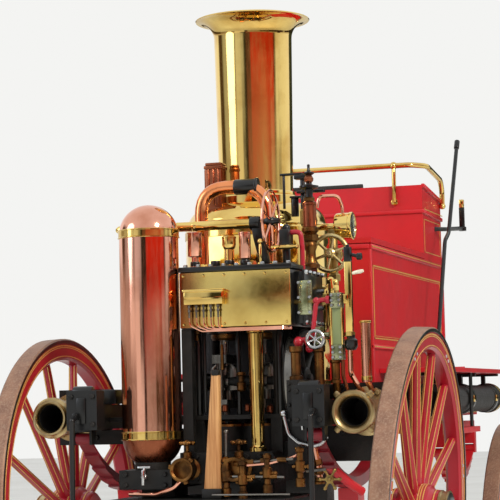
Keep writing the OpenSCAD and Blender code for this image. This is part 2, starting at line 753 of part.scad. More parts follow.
// Bench with a back board and sloping wings
module seat_box() color(red) at_axle() {
    box([-box_x, seat_y0, box_top], [box_x, box_y1, seat_board]);
    box([-box_x, seat_y0, seat_board - 1], [box_x, seat_y0 + seat_wall, seat_top]);
    for (x = [-box_x, box_x - seat_wall]) translate([x, 0, 0]) rotate([90, 0, 90])
        linear_extrude(seat_wall)
        polygon([[seat_y0, seat_board - 1], [seat_y0, seat_top], [box_y1, seat_top - wing_fall],
            [box_y1, seat_board - 1]]);
    for (x = [-220, 220]) {
        x_cylinder(x - 42, x + 42, seat_y0 - 10, box_top + lid_t + 8, 4);
        for (s = [-1, 1]) box([x + s * 37 - 5, seat_y0 - 16, box_top + lid_t + 3],
            [x + s * 37 + 5, seat_y0 + 1, box_top + lid_t + 15]);
    }
}

// Cushion on the bench with a padded roll over part of the back board
module seat_cushion() color(leather) at_axle() {
    x = box_x - seat_wall - 3;
    y = seat_y0 + seat_wall;
    box([-x, y + sliver, seat_board], [x, box_y1 - 8, seat_board + 55]);
    box([-x, y + sliver, seat_board + 54], [roll_x, y + 28, seat_top + 22]);
}

module seat_handrail() color(brass) at_axle() {
    x = box_x + 14;
    y = seat_y0 - 14;
    z = seat_top + 88;
    for (s = [-1, 1]) {
        bent_rod([[0, y, z], [s * (x - 60), y, z], [s * x, y + 60, z], [s * x, box_y1 - 50, z - 35],
            [s * x, box_y1 - 20, z - 80], [s * x, box_y1 - 20, z - 150]], 12);
        box([s > 0 ? box_x : -x - 12, box_y1 - 34, z - 180],
            [s > 0 ? x + 12 : -box_x, box_y1 - 6, z - 150]);
    }
    for (x = [-240, 240]) {
        rod([x, y, z], [x, y, seat_top - 75], 9);
        box([x - 14, y - 10, seat_top - 100], [x + 14, seat_y0, seat_top - 74]);
    }
}

// Board for the driver's feet on two brackets, with a toe board along its front
module driver_footboard() {
    bracket_t = 20;
    for (s = [-1, 1]) translate([s * (box_x - 25) - bracket_t / 2, 0, 0]) rotate([90, 0, 90])
        linear_extrude(bracket_t)
        polygon([[box_y1, rail_top], [box_y1, toe_z], [box_y1 + toe_reach, toe_z],
            [box_y1 + toe_reach - 40, rail_top]]);
    box([-box_x, box_y1, toe_z], [box_x, box_y1 + toe_reach, foot_z]);
    translate([-box_x + 3, box_y1 + toe_reach - 5, toe_z + 1]) rotate([35, 0, 0])
        cube([box_w - 6, 50, foot_t]);
}

module side_footboards() for (s = [-1, 1]) {
    x0 = box_x + 1;
    step_x = foot_x - 12;
    box([s > 0 ? x0 : -foot_x, box_y0 + 110, foot_z - foot_t],
        [s > 0 ? foot_x : -x0, box_y1 + 70, foot_z]);
    for (y = [box_y0 + 230, (box_y0 + box_y1) / 2 + 60, box_y1 - 110]) {
        box([s > 0 ? rail_out : -rail_out - 8, y, rail_bottom],
            [s > 0 ? rail_out + 8 : -rail_out, y + 30, foot_z - foot_t]);
        box([s > 0 ? rail_out : 10 - foot_x, y, foot_z - foot_t - 12],
            [s > 0 ? foot_x - 10 : -rail_out, y + 30, foot_z - foot_t]);
        difference() {
            union() {
                y_cylinder(s * hose_x, y, y + 30, hose_z, hose_r + 6);
                box([s * hose_x - 8, y, hose_z], [s * hose_x + 8, y + 30, foot_z - foot_t]);
            }
            y_cylinder(s * hose_x, y - 1, y + 31, hose_z, hose_r + 0.3);
        }
    }
    // Step iron hanging under the footboard
    step_z = foot_z - 240;
    step_y = box_y0 + 290;
    box([s * step_x - 4, step_y + 360, step_z], [s * step_x + 4, step_y + 400, foot_z - foot_t]);
    box([s * step_x - 30, step_y, step_z - 20], [s * step_x + 30, step_y + 405, step_z + 2]);
}

module footboards() color(red) at_axle() {
    driver_footboard();
    side_footboards();
}

module suction_hoses() color(leather) at_axle() for (s = [-1, 1]) {
    y_cylinder(s * hose_x, box_y0 + 150, box_y1 - 30, hose_z, hose_r);
    y_cylinder(s * hose_x, box_y1 - 50, box_y1 + 30, hose_z, hose_r + 8);
    y_cylinder(s * hose_x, box_y0 + 120, box_y0 + 200, hose_z, hose_r + 8);
}

module brake_lever() color(iron) at_axle() {
    x = rail_x + 39;
    y = (box_y0 + box_y1) / 2 + 60;
    z = foot_z + 60;
    bent_rod([[x, y, z], [x, y + 276, z + 501], [x, y + 365, z + 542],
        [x, box_y1 - 15, seat_top + 226]], 11);
    box([x - 10, y - 40, foot_z], [x + 10, y + 40, foot_z + 14]);
    box([x - 8, y - 15, foot_z], [x + 8, y + 15, z + 12]);
    x_cylinder(box_x, x + 15, y, z, 14);
}

module fore_carriage() color(red) at_axle() translate([0, wheelbase, 0]) difference() {
    union() {
        translate([0, 0, ring_z]) difference() {
            cylinder(h = ring_t, r = 320, $fn = round_fn);
            translate([0, 0, -1]) cylinder(h = ring_t + 2, r = 270, $fn = round_fn);
        }
        // Transom, futchells and spring bars
        box([-front_spring_x - 30, -50, ring_z - 50], [front_spring_x + 30, 50, ring_z]);
        for (s = [-1, 1]) {
            box([s * 95 - 18, -300, ring_z - 40], [s * 95 + 18, 520, ring_z]);
            box([s * front_spring_x - 24, -front_spring_half - 40, ring_z - 50],
                [s * front_spring_x + 24, front_spring_half + 40, ring_z]);
            for (y = [-front_spring_half, front_spring_half])
                spring_hanger(s * front_spring_x, y, front_eye_z, ring_z - 50);
        }
        box([-110, 440, ring_z - 50], [110, front_reach, ring_z + 10]);
    }
    translate([0, 0, ring_z - 60]) cylinder(h = 90, r = 22.5);
    translate([0, 0, ring_z - 60]) cylinder(h = 20, r = 40);
    y_cylinder(0, 445, front_reach + 1, ring_z - 20, 24);
}

module front_axle() color(red) at_axle() translate([0, wheelbase, 0]) {
    box([-front_beam_half, -26, front_z - 26], [front_beam_half, 26, front_z + 26]);
    for (s = [-1, 1]) {
        axle_arm(s, front_track, 0, front_z);
        box([s * front_spring_x - 34, -40, front_z + 25],
            [s * front_spring_x + 34, 40, front_spring_bottom]);
        spring(front_spring_half, front_spring_drop, 0, front_eye_z, s * front_spring_x);
    }
}

module rear_wheel(s) color(red) at_axle() wheel_frame(s, rear_track, 0, rear_z) wheel(rear_r);
module front_wheel(s) color(red) at_axle() wheel_frame(s, front_track, wheelbase, front_z) wheel(front_r);
module wheel_rear_left() rear_wheel(-1);
module wheel_rear_right() rear_wheel(1);
module wheel_front_left() front_wheel(-1);
module wheel_front_right() front_wheel(1);

frame_rails();
rear_axle();
rear_springs();
boiler_shell();
boiler_cladding();
boiler_cover();
ash_pan();
fire_door();
funnel();
exhaust_pipe();
steam_cylinders();
cylinder_lagging();
lubricators();
rear_handrail();
engine_frame();
ram_column();
flywheel();
motion_rods();
pump_body();
suction_inlet_left();
suction_inlet_right();
delivery_valves();
air_vessel();
safety_valve_stand();
regulator_wheel();
feed_wheel();
pressure_gauge();
water_gauge();
linkage_rods();
copper_pipes();
wooden_post();
hose_box();
hose_box_lid();
seat_box();
seat_cushion();
seat_handrail();
footboards();
suction_hoses();
brake_lever();
fore_carriage();
front_axle();
wheel_rear_left();
wheel_rear_right();
wheel_front_left();
wheel_front_right();
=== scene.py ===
"""Looks of a horse-drawn steam fire engine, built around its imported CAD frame.

Pieces are modelled in millimetres from the rear axle's line on the ground, with +X to the
vehicle's right, +Y forward and +Z up. piece() turns them into the frame's metres.
"""
from math import cos, pi, radians, sin, tan

import bmesh
import bpy
from mathutils import Matrix, Vector


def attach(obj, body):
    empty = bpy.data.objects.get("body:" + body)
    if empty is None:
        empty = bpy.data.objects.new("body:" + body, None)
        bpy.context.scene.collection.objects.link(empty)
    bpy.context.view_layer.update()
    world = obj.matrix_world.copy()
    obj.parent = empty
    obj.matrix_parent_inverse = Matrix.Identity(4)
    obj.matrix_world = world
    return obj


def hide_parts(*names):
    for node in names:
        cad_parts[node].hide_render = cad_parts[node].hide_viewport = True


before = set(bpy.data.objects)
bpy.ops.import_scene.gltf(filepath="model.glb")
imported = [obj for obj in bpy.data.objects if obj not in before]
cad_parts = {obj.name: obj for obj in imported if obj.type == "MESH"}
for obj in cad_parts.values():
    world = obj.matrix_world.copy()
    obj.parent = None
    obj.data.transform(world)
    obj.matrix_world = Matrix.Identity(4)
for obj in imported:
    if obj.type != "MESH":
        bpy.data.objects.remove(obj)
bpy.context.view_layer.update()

# Places and sizes in millimetres from the rear axle, as the CAD source has them
AXLE_Y = -1025
WHEELBASE = 2150
CAMBER = 2.8
REAR_R, REAR_TRACK = 660, 1316
FRONT_R, FRONT_TRACK = 475, 1180
TYRE_W, TYRE_T, FELLOE_D = 68, 16, 62
HUB_R, NAVE_R, HUB_HALF, DISH, SPOKES = 114, 96, 108, 22, 14
RAIL_IN, RAIL_OUT, RAIL_TOP, RAIL_BOTTOM = 389, 433, 1075, 990
BOILER_Y, BOILER_R, CLAD_R = 300, 262, 270
CLAD_Z0, SHOULDER_Z, COVER_Z = 1110, 1715, 1815
FUNNEL_TOP, FUNNEL_LIP, FUNNEL_FOOT, FUNNEL_NECK = 2510, 216, 138, 147
BLOCK_X0, BLOCK_X1, BLOCK_BACK, BLOCK_FRONT = -88, 308, -350, -20
BLOCK_Z0, BLOCK_Z1, BLOCK_TOP = 1326, 1522, 1540
VESSEL_X, VESSEL_Y, VESSEL_R, VESSEL_TOP, VESSEL_BOTTOM = -199, -350, 103, 1763, 855
BOX_X, BOX_Y0, BOX_Y1, SEAT_Y0 = 360, 590, 1990, 1600
BOX_TOP, SEAT_TOP, SEAT_BOARD, FOOT_Z = 1672, 1997, 1890, 1190
HOSE_X, HOSE_Z, HOSE_R = 548, 1065, 57
ENGINE_Y, CRANK_Z = -170, 1146
ROD_XS = (10, 150)
ROW_Y = -310  # row of the oil cups, the ram's column and the water gauge
LOOP_Y, LOOP_Z = -100, 1838
COLUMN_X, PUMP_TOP = 168, 905
SUCTION_X, SUCTION_Z, SUCTION_FOOT_Y = 538, 1033, -233
DELIVERY_XS, DELIVERY_Y, DELIVERY_Z = (-58, 125), -365, 850
GAUGE_X, GAUGE_ZS = 459, (1233, 1408)
TUBE_X, TUBE_Y, LINK_Y = 560, -330, -330
STAND_X, STAND_Y = 300, -50
FEED_X, FEED_Z = 361, 1592
FLYWHEEL = (291, ENGINE_Y, CRANK_Z)
STRAP_YS = (820, 1350, 1880)
SEAT_RAIL_X, SEAT_RAIL_Y, SEAT_RAIL_Z = 374, 1586, 2085
LEVER_X = 450

TO_FRAME = Matrix.Translation((0, AXLE_Y / 1000, 0)) @ Matrix.Scale(0.001, 4)
ALONG_X = Matrix.Rotation(pi / 2, 4, "Y")
ALONG_Y = Matrix.Rotation(-pi / 2, 4, "X")
REARWARD = Matrix.Rotation(pi / 2, 4, "X")


# Places and turns, as matrices

def shift(x, y, z):
    return Matrix.Translation((x, y, z))


def by(degrees, axis="Z"):
    """Matrix that turns about an axis."""
    return Matrix.Rotation(radians(degrees), 4, axis)


def turns(count, offset=0):
    """Matrices that share a full turn about Z between count places."""
    return [Matrix.Rotation(2 * pi * (i + offset) / count, 4, "Z") for i in range(count)]


def sheared(moved, along, slope, start):
    """Matrix that moves one axis by slope for each millimetre that another lies past start."""
    matrix = Matrix.Identity(4)
    matrix[moved][along], matrix[moved][3] = slope, -slope * start
    return matrix


def aim(a, b, ahead="Z"):
    """Matrix that stands a shape on a and points it at b."""
    a, b = Vector(a), Vector(b)
    return Matrix.Translation(a) @ (b - a).to_track_quat(ahead, "Y").to_matrix().to_4x4()


def span(a, b):
    return (Vector(b) - Vector(a)).length


# Shapes, as bmeshes in millimetres

def placed(part, *steps):
    """Shape moved by one matrix after the other."""
    for step in steps:
        bmesh.ops.transform(part, matrix=step, verts=part.verts)
    return part


def block(low, high, edge=2.0, steps=2):
    """Box between two corners with its edges eased."""
    low, high = Vector(low), Vector(high)
    size = high - low
    part = bmesh.new()
    bmesh.ops.create_cube(part, size=1)
    bmesh.ops.scale(part, vec=size, verts=part.verts)
    bmesh.ops.translate(part, vec=(low + high) / 2, verts=part.verts)
    if edge:
        bmesh.ops.bevel(part, geom=part.edges[:], offset=min(edge, 0.4 * min(size)), segments=steps,
                        profile=0.5, affect="EDGES", material=-1)
    return part


def turned(profile, around, closed=False):
    """Profile of (radius, height) pairs spun about Z."""
    part = bmesh.new()
    points = [part.verts.new((r, 0, z)) for r, z in profile]
    for a, b in zip(points, points[1:]):
        part.edges.new((a, b))
    if closed:
        part.edges.new((points[-1], points[0]))
    bmesh.ops.spin(part, geom=part.verts[:] + part.edges[:], cent=(0, 0, 0), axis=(0, 0, 1),
                   angle=2 * pi, steps=around, use_merge=True)
    bmesh.ops.remove_doubles(part, verts=part.verts, dist=0.005)
    bmesh.ops.recalc_face_normals(part, faces=part.faces)
    return part


def drum(r, z0, z1, edge=1.5, around=32):
    """Solid cylinder along Z with eased rims."""
    e = min(edge, 0.4 * r, 0.4 * abs(z1 - z0))
    return turned([(0, z0), (r - e, z0), (r - 0.3 * e, z0 + 0.3 * e), (r, z0 + e), (r, z1 - e),
                   (r - 0.3 * e, z1 - 0.3 * e), (r - e, z1), (0, z1)], around)


def hoop(r, thick, around=64, sides=10):
    """Round-section ring about Z."""
    return turned([(r + thick * cos(2 * pi * i / sides), thick * sin(2 * pi * i / sides))
                   for i in range(sides)], around, closed=True)


def band(r0, r1, z0, z1, edge, around=96):
    """Flat ring with eased edges."""
    e = min(edge, 0.4 * (r1 - r0), 0.4 * (z1 - z0))
    return turned([(r0 + e, z0), (r1 - e, z0), (r1, z0 + e), (r1, z1 - e), (r1 - e, z1),
                   (r0 + e, z1), (r0, z1 - e), (r0, z0 + e)], around, closed=True)


def bar(a, b, r):
    """Round bar from a to b."""
    return placed(drum(r, 0, span(a, b), 1.0, 20), aim(a, b))


def post(x, y, z0, z1, r):
    """Upright round bar."""
    return bar((x, y, z0), (x, y, z1), r)


def nut(a, b, across):
    """Hexagon standing on a, towards b, with a rounded end."""
    height = span(a, b)
    r = across / 1.8
    return placed(turned([(0, 0), (r, 0), (r, 0.8 * height), (0.8 * r, height), (0, height)], 6),
                  aim(a, b))


def nuts(places, way, across):
    """Nuts that all point the same way."""
    return [nut(place, Vector(place) + Vector(way), across) for place in places]


def screw(a, b, r):
    """Round screw head standing on a, towards b."""
    height = span(a, b)
    return placed(turned([(0, 0), (r, 0), (r, 0.35 * height), (0.7 * r, 0.85 * height),
                          (0, height)], 12), aim(a, b))


def knob(x, y, z, r):
    """Ball with its middle at a place."""
    part = bmesh.new()
    bmesh.ops.create_uvsphere(part, u_segments=24, v_segments=12, radius=r)
    return placed(part, shift(x, y, z))


def stood(place, profile, around, *leans):
    """Turned shape with its foot at a place, leant over first where it doesn't stand upright."""
    return placed(turned(profile, around), *leans, shift(*place))


def arc(middle, reach, degrees):
    """Profile points of an elliptic arc, by degrees from its top."""
    return [(middle[0] + reach[0] * sin(radians(a)), middle[1] + reach[1] * cos(radians(a)))
            for a in degrees]


def side_block(side, near, far, y, z, edge):
    """Box between two distances from the middle, on the left (-1) or on the right (1)."""
    x0, x1 = sorted((side * near, side * far))
    return block((x0, y[0], z[0]), (x1, y[1], z[1]), edge)


def loft(sections, sides):
    """Closed shape through (height, half x, half y) ellipses along Z."""
    part = bmesh.new()
    last = None
    for i, (z, hx, hy) in enumerate(sections):
        ends = i in (0, len(sections) - 1)
        spot = shift(0, 0, z) @ Matrix.Diagonal((hx, hy, 1, 1))
        made = bmesh.ops.create_circle(part, cap_ends=ends, radius=1, segments=sides, matrix=spot)
        loop = list({e for v in made["verts"] for e in v.link_edges})
        if last:
            bmesh.ops.bridge_loops(part, edges=last + loop)
        last = loop
    bmesh.ops.recalc_face_normals(part, faces=part.faces)
    return part


def arms(sections, sides, degrees, axis, place):
    """Arms of a wheel that turns about an axis through a place."""
    return [placed(loft(sections, sides), by(a, axis), shift(*place)) for a in degrees]


def plate(outline, thickness):
    """Flat plate with eased edges: an outline in X and Z, thickened towards +Y."""
    part = bmesh.new()
    face = part.faces.new([part.verts.new((x, 0, z)) for x, z in outline])
    made = bmesh.ops.extrude_face_region(part, geom=[face])["geom"]
    bmesh.ops.translate(part, vec=(0, thickness, 0),
                        verts=[v for v in made if isinstance(v, bmesh.types.BMVert)])
    bmesh.ops.recalc_face_normals(part, faces=part.faces)
    bmesh.ops.bevel(part, geom=part.edges[:], offset=3, segments=2, profile=0.5, affect="EDGES",
                    material=-1)
    return part


def rounded(points, bend):
    """Path with its corners turned into arcs of the given radius."""
    steps = 7
    points = [Vector(p) for p in points]
    path = [points[0]]
    for before, corner, after in zip(points, points[1:], points[2:]):
        a, b = (before - corner), (after - corner)
        half = a.angle(b) / 2
        if half > radians(89.5) or not bend:
            path.append(corner)
            continue
        reach = min(bend / tan(half), 0.49 * a.length, 0.49 * b.length)
        start, end = corner + a.normalized() * reach, corner + b.normalized() * reach
        for i in range(steps + 1):
            t = i / steps
            path.append(start * (1 - t) ** 2 + corner * 2 * t * (1 - t) + end * t ** 2)
    return path + [points[-1]]


def meshed(curve):
    """Turns a curve or a text into a shape."""
    holder = bpy.data.objects.new("holder", curve)
    mesh = bpy.data.meshes.new_from_object(holder)
    part = bmesh.new()
    part.from_mesh(mesh)
    bpy.data.objects.remove(holder)
    bpy.data.curves.remove(curve)
    bpy.data.meshes.remove(mesh)
    return part


def pipe(points, r, bend=30, fine=3):
    """Round pipe along a path with bent corners."""
    path = rounded(points, bend)
    curve = bpy.data.curves.new("path", "CURVE")
    curve.dimensions, curve.use_fill_caps = "3D", True
    curve.bevel_depth, curve.bevel_resolution = r, fine
    spline = curve.splines.new("POLY")
    spline.points.add(len(path) - 1)
    for point, place in zip(spline.points, path):
        point.co = (*place, 1)
    part = meshed(curve)
    bmesh.ops.remove_doubles(part, verts=part.verts, dist=0.01)
    bmesh.ops.recalc_face_normals(part, faces=part.faces)
    return part


# Materials

def linear(colour):
    """Linear values of a hex colour."""
    parts = [int(colour[i:i + 2], 16) / 255 for i in (1, 3, 5)]
    return tuple(p / 12.92 if p <= 0.04045 else ((p + 0.055) / 1.055) ** 2.4 for p in parts) + (1,)


def node(tree, kind, settings=None, **inputs):
    """Adds a shader node with its settings, values and links."""
    made = tree.nodes.new("ShaderNode" + kind)
    for name, value in (settings or {}).items():
        setattr(made, name, value)
    for name, value in inputs.items():
        numbered = name.startswith("in") and name[2:].isdigit()
        socket = made.inputs[int(name[2:]) if numbered else name.replace("_", " ")]
        if isinstance(value, bpy.types.NodeSocket):
            tree.links.new(value, socket)
        else:
            socket.default_value = value
    return made


def per(size):
    """Noise scale whose features measure size millimetres."""
    return 1000 / size


def finish_material(name):
    material = bpy.data.materials.new(name)
    material.use_nodes = True
    tree = material.node_tree
    tree.nodes.clear()
    return material, tree


def own_place(tree):
    """The object's own coordinates, in metres."""
    return node(tree, "TexCoord").outputs["Object"]


def own_axis(tree, axis):
    return node(tree, "SeparateXYZ", Vector=own_place(tree)).outputs[axis]


def ramp(tree, value, low, high):
    """Turns low to high into 0 to 1."""
    return node(tree, "MapRange", Value=value, From_Min=low, From_Max=high).outputs[0]


def blotches(tree, size, detail, stretch=(1, 1, 1), low=0.35, high=0.65):
    """Soft noise from 0 to 1 on the object's own coordinates."""
    place = own_place(tree)
    if stretch != (1, 1, 1):
        place = node(tree, "Mapping", Vector=place, Scale=stretch).outputs[0]
    noise = node(tree, "TexNoise", Vector=place, Scale=per(size), Detail=detail, Roughness=0.55)
    return ramp(tree, noise.outputs["Fac"], low, high)


def dust_on(tree):
    return blotches(tree, 140, 4, low=0.45, high=0.9)


def mixed(tree, amount, a, b):
    mix = node(tree, "Mix", {"data_type": "RGBA"})
    tree.links.new(amount, mix.inputs[0])
    for socket, value in ((mix.inputs[6], a), (mix.inputs[7], b)):
        if isinstance(value, bpy.types.NodeSocket):
            tree.links.new(value, socket)
        else:
            socket.default_value = linear(value)
    return mix.outputs[2]


def between(tree, amount, a, b):
    return node(tree, "MapRange", Value=amount, To_Min=a, To_Max=b).outputs[0]


def surface(tree, **inputs):
    shader = node(tree, "BsdfPrincipled", **inputs)
    node(tree, "OutputMaterial", Surface=shader.outputs[0])


def relief(tree, height, depth):
    return node(tree, "Bump", Height=height, Distance=depth / 1000).outputs[0]


def polished_metal(name, colour, shade, rough, wave=0.12):
    """Sheet or casting buffed by hand: a mirror with slow waves, cloudy tarnish, wiping marks."""
    material, tree = finish_material(name)
    tarnish = blotches(tree, 160, 4, low=0.45, high=0.8)
    wipes = blotches(tree, 9, 2, (1, 1, 0.12))
    waves = blotches(tree, 70, 1, (1, 1, 0.25), 0.2, 0.8)
    surface(tree, Base_Color=mixed(tree, tarnish, colour, shade), Metallic=1.0,
            Roughness=between(tree, wipes, *rough), Normal=relief(tree, waves, wave))
    return material


def varnished(tree, colour, rough, coat, **more):
    surface(tree, Base_Color=colour, Roughness=rough, IOR=1.42, Coat_Weight=coat,
            Coat_Roughness=0.12, **more)


def coach_paint(name, colour, shade, rough=0.3):
    """Brushed and varnished coach enamel: deep colour under a clear gloss, dull where dust lies."""
    material, tree = finish_material(name)
    dust = dust_on(tree)
    strokes = blotches(tree, 5, 2, (1, 1, 0.15))
    varnished(tree, mixed(tree, dust, colour, shade), between(tree, dust, rough, rough + 0.12),
              0.22, Normal=relief(tree, strokes, 0.012))
    return material


def cast_metal(name, colour, shade, rough, grain, depth, metallic=0.0):
    """Sand casting: a fine pebbled skin, darker where oil lies on it."""
    material, tree = finish_material(name)
    oil = blotches(tree, 60, 4)
    skin = blotches(tree, grain, 3)
    surface(tree, Base_Color=mixed(tree, oil, colour, shade), Metallic=metallic, IOR=1.38,
            Roughness=between(tree, oil, *rough), Normal=relief(tree, skin, depth))
    return material


BRASS = polished_metal("polished_brass", "#f0cf7c", "#c79a48", (0.05, 0.11), 0.07)
COPPER = polished_metal("polished_copper", "#f0b096", "#c47e60", (0.06, 0.13), 0.1)
WARM_COPPER = polished_metal("flame_coloured_copper", "#f59c66", "#d8763e",
                             (0.08, 0.16), 0.08)
OLD_COPPER = polished_metal("heat_browned_copper", "#93563c", "#5a3226", (0.24, 0.4))
GUNMETAL = cast_metal("cast_gunmetal", "#b39a5e", "#7d6a3c", (0.28, 0.42), 4, 0.25, 1.0)
NICKEL_BRASS = cast_metal("greened_brass_casting", "#b9bd98", "#6f7552",
                          (0.18, 0.34), 6, 0.3, 1.0)
STEEL = polished_metal("bright_machined_steel", "#c9cbcc", "#8e8f90", (0.16, 0.3), 0.05)
SATIN_BRASS = cast_metal("satin_turned_brass", "#c4ad7e", "#9c865c",
                         (0.26, 0.4), 5, 0.12, 1.0)
PALE_BRASS = cast_metal("hand_worn_brass", "#e2d29c", "#c4ae74", (0.2, 0.32), 5, 0.1, 1.0)
BRONZE = cast_metal("oil_darkened_bronze", "#8c6234", "#4a3420",
                    (0.26, 0.44), 4, 0.15, 1.0)
GREEN_CASE = coach_paint("sage_green_case_enamel", "#7c8659", "#666e48", 0.4)
OILY_STEEL = polished_metal("oily_bright_steel", "#83807a", "#3c3935", (0.24, 0.42), 0.05)
RED = coach_paint("red_coach_enamel", "#c4202a", "#ab1f28")
CRIMSON = coach_paint("crimson_wheel_enamel", "#a81a2a", "#8c1626", 0.28)
MAROON = coach_paint("maroon_spring_enamel", "#7a1420", "#5c101a", 0.32)
BLACK_PAINT = coach_paint("black_stove_enamel", "#0b0c0c", "#181918", 0.28)
IRON = cast_metal("oily_cast_iron", "#0e0f0e", "#1f1d1b", (0.34, 0.6), 3, 0.4)


def planished_sheet():
    """Thin brass sheet dressed by hammer: cloudy dents 120 mm across, browner under old lacquer,
    and painted shade that turns its left end dark brown beside the air vessel.
    """
    material, tree = finish_material("planished_sheet_brass")
    dents = blotches(tree, 120, 1, low=0.1, high=0.9)
    lacquer = blotches(tree, 170, 3, low=0.4, high=0.75)
    smears = blotches(tree, 26, 4, low=0.3, high=0.8)
    # Painted shade: the sheet fades to dark brown towards its left end, where it meets the air
    # vessel
    left = ramp(tree, own_axis(tree, 0), 0.01, -0.05)
    gold = mixed(tree, lacquer, "#e6ca78", "#bc9a50")
    surface(tree, Base_Color=mixed(tree, left, gold, "#96683a"), Metallic=1.0,
            Roughness=between(tree, smears, 0.16, 0.27), Normal=relief(tree, dents, 0.8))
    return material


def worn_tyre():
    """Wrought iron tyre scrubbed brown by the road, bright scratches along its run."""
    material, tree = finish_material("road_worn_iron_tyre")
    rust = blotches(tree, 60, 6)
    grit = blotches(tree, 7, 4, low=0.45, high=0.8)
    base = mixed(tree, rust, "#96705a", "#7d5a49")
    surface(tree, Base_Color=mixed(tree, grit, base, "#a58a74"), Metallic=0.3,
            Roughness=between(tree, grit, 0.5, 0.68), Normal=relief(tree, grit, 0.2))
    return material


def gold_leaf():
    """Gold size lining laid by brush: a warm satin metal that breaks slightly along its length."""
    material, tree = finish_material("gold_leaf_lining")
    breaks = blotches(tree, 14, 4, low=0.55, high=0.75)
    surface(tree, Base_Color=mixed(tree, breaks, "#e3b866", "#b98a3c"), Metallic=0.45,
            Roughness=between(tree, breaks, 0.32, 0.5))
    return material


def ash_wood():
    """Planed ash board, its grain running upwards in narrow bands."""
    material, tree = finish_material("planed_ash")
    stretched = node(tree, "Mapping", Vector=own_place(tree), Scale=(1, 1, 0.04)).outputs[0]
    grain = node(tree, "TexNoise", Vector=stretched, Scale=per(9), Detail=6, Roughness=0.6,
                 Distortion=0.6)
    lines = ramp(tree, grain.outputs["Fac"], 0.38, 0.62)
    tone = blotches(tree, 140, 3, (1, 1, 0.5))
    base = mixed(tree, tone, "#d2a168", "#b57c48")
    surface(tree, Base_Color=mixed(tree, lines, base, "#9c6636"),
            Roughness=between(tree, lines, 0.5, 0.62), IOR=1.5, Normal=relief(tree, lines, 0.15))
    return material


def leather():
    """Black hide: pebbled grain 2.5 mm across, duller and paler in worn patches."""
    material, tree = finish_material("black_seat_hide")
    pebbles = node(tree, "TexVoronoi", {"feature": "SMOOTH_F1"}, Vector=own_place(tree),
                   Scale=per(2.5), Smoothness=0.6)
    wear = blotches(tree, 70, 4)
    surface(tree, Base_Color=mixed(tree, wear, "#171615", "#2b2826"), IOR=1.45,
            Roughness=between(tree, wear, 0.42, 0.6),
            Normal=relief(tree, pebbles.outputs["Distance"], 0.35))
    return material


def hose_rubber():
    """Black proofed canvas over rubber: the weave shows as a fine cross grain."""
    material, tree = finish_material("black_proofed_canvas_hose")
    weave = node(tree, "TexWave", {"bands_direction": "DIAGONAL"}, Vector=own_place(tree),
                 Scale=per(14), Distortion=0.5)
    worn = blotches(tree, 40, 4)
    surface(tree, Base_Color=mixed(tree, worn, "#171717", "#2c2b2a"), IOR=1.48,
            Roughness=between(tree, worn, 0.5, 0.7), Normal=relief(tree, weave.outputs["Fac"], 0.4))
    return material


def dial_enamel(name, colour, shade):
    """Kiln-fired dial enamel, faintly uneven."""
    material, tree = finish_material(name)
    mottle = blotches(tree, 12, 3)
    surface(tree, Base_Color=mixed(tree, mottle, colour, shade), IOR=1.5, Roughness=0.35)
    return material


def gauge_glass():
    """Thick gauge glass with the pale green of old soda glass."""
    material, tree = finish_material("old_gauge_glass")
    tint = blotches(tree, 60, 1)
    surface(tree, Base_Color=mixed(tree, tint, "#f4f6f0", "#e6ece2"), IOR=1.3, Roughness=0.04,
            Transmission_Weight=0.97)
    return material


def rail_paint():
    """Red coach enamel that turns to black stove enamel on the castings at the rails' rear ends."""
    material, tree = finish_material("red_rail_with_black_ends")
    black_from = (AXLE_Y - 60) / 1000
    end = ramp(tree, own_axis(tree, 1), black_from, black_from - 0.002)
    dust = dust_on(tree)
    red = mixed(tree, dust, "#b81e28", "#9c1c26")
    varnished(tree, mixed(tree, end, red, "#101112"), between(tree, dust, 0.3, 0.44), 0.2)
    return material


def footboard_paint():
    """Red boards and step, black stove enamel on the irons that hang between them."""
    material, tree = finish_material("red_footboards_on_black_irons")
    height = own_axis(tree, 2)
    boards = ramp(tree, height, 1.170, 1.171)
    step = ramp(tree, height, 0.953, 0.952)
    wood = node(tree, "Math", {"operation": "MAXIMUM"}, in0=boards, in1=step).outputs[0]
    dust = dust_on(tree)
    red = mixed(tree, dust, "#c4202a", "#a01c26")
    varnished(tree, mixed(tree, wood, "#0b0c0c", red), between(tree, dust, 0.3, 0.46), 0.2)
    return material


RAIL_PAINT, BOARD_PAINT = rail_paint(), footboard_paint()
TYRE, GOLD, ASH, HIDE, HOSE = worn_tyre(), gold_leaf(), ash_wood(), leather(), hose_rubber()
SHEET_BRASS = planished_sheet()
DIAL, INK, GLASS = dial_enamel("white_dial_enamel", "#dcdcd6", "#c6c8c4"), \
    dial_enamel("black_dial_ink", "#151515", "#202020"), gauge_glass()


# Pieces

SHARP = 32


def piece(name, material, parts, *stands_for, body="carriage"):
    """One object from parts in millimetres, riding on a body, in place of any CAD nodes named."""
    whole = bmesh.new()
    for part in parts:
        mesh = bpy.data.meshes.new("part")
        part.to_mesh(mesh)
        part.free()
        whole.from_mesh(mesh)
        bpy.data.meshes.remove(mesh)
    bmesh.ops.transform(whole, matrix=TO_FRAME, verts=whole.verts)
    return shown(name, material, whole, body, stands_for)


def shown(name, material, whole, body, stands_for):
    """One object from a mesh in the frame's metres, smooth but for edges over SHARP degrees."""
    for face in whole.faces:
        face.smooth = True
    for edge in whole.edges:
        edge.smooth = not (len(edge.link_faces) == 2 and edge.calc_face_angle(0) > radians(SHARP))
    mesh = bpy.data.meshes.new(name)
    whole.to_mesh(mesh)
    whole.free()
    mesh.materials.append(material)
    made = bpy.data.objects.new(name, mesh)
    bpy.context.scene.collection.objects.link(made)
    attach(made, body)
    if stands_for:
        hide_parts(*stands_for)
    return made


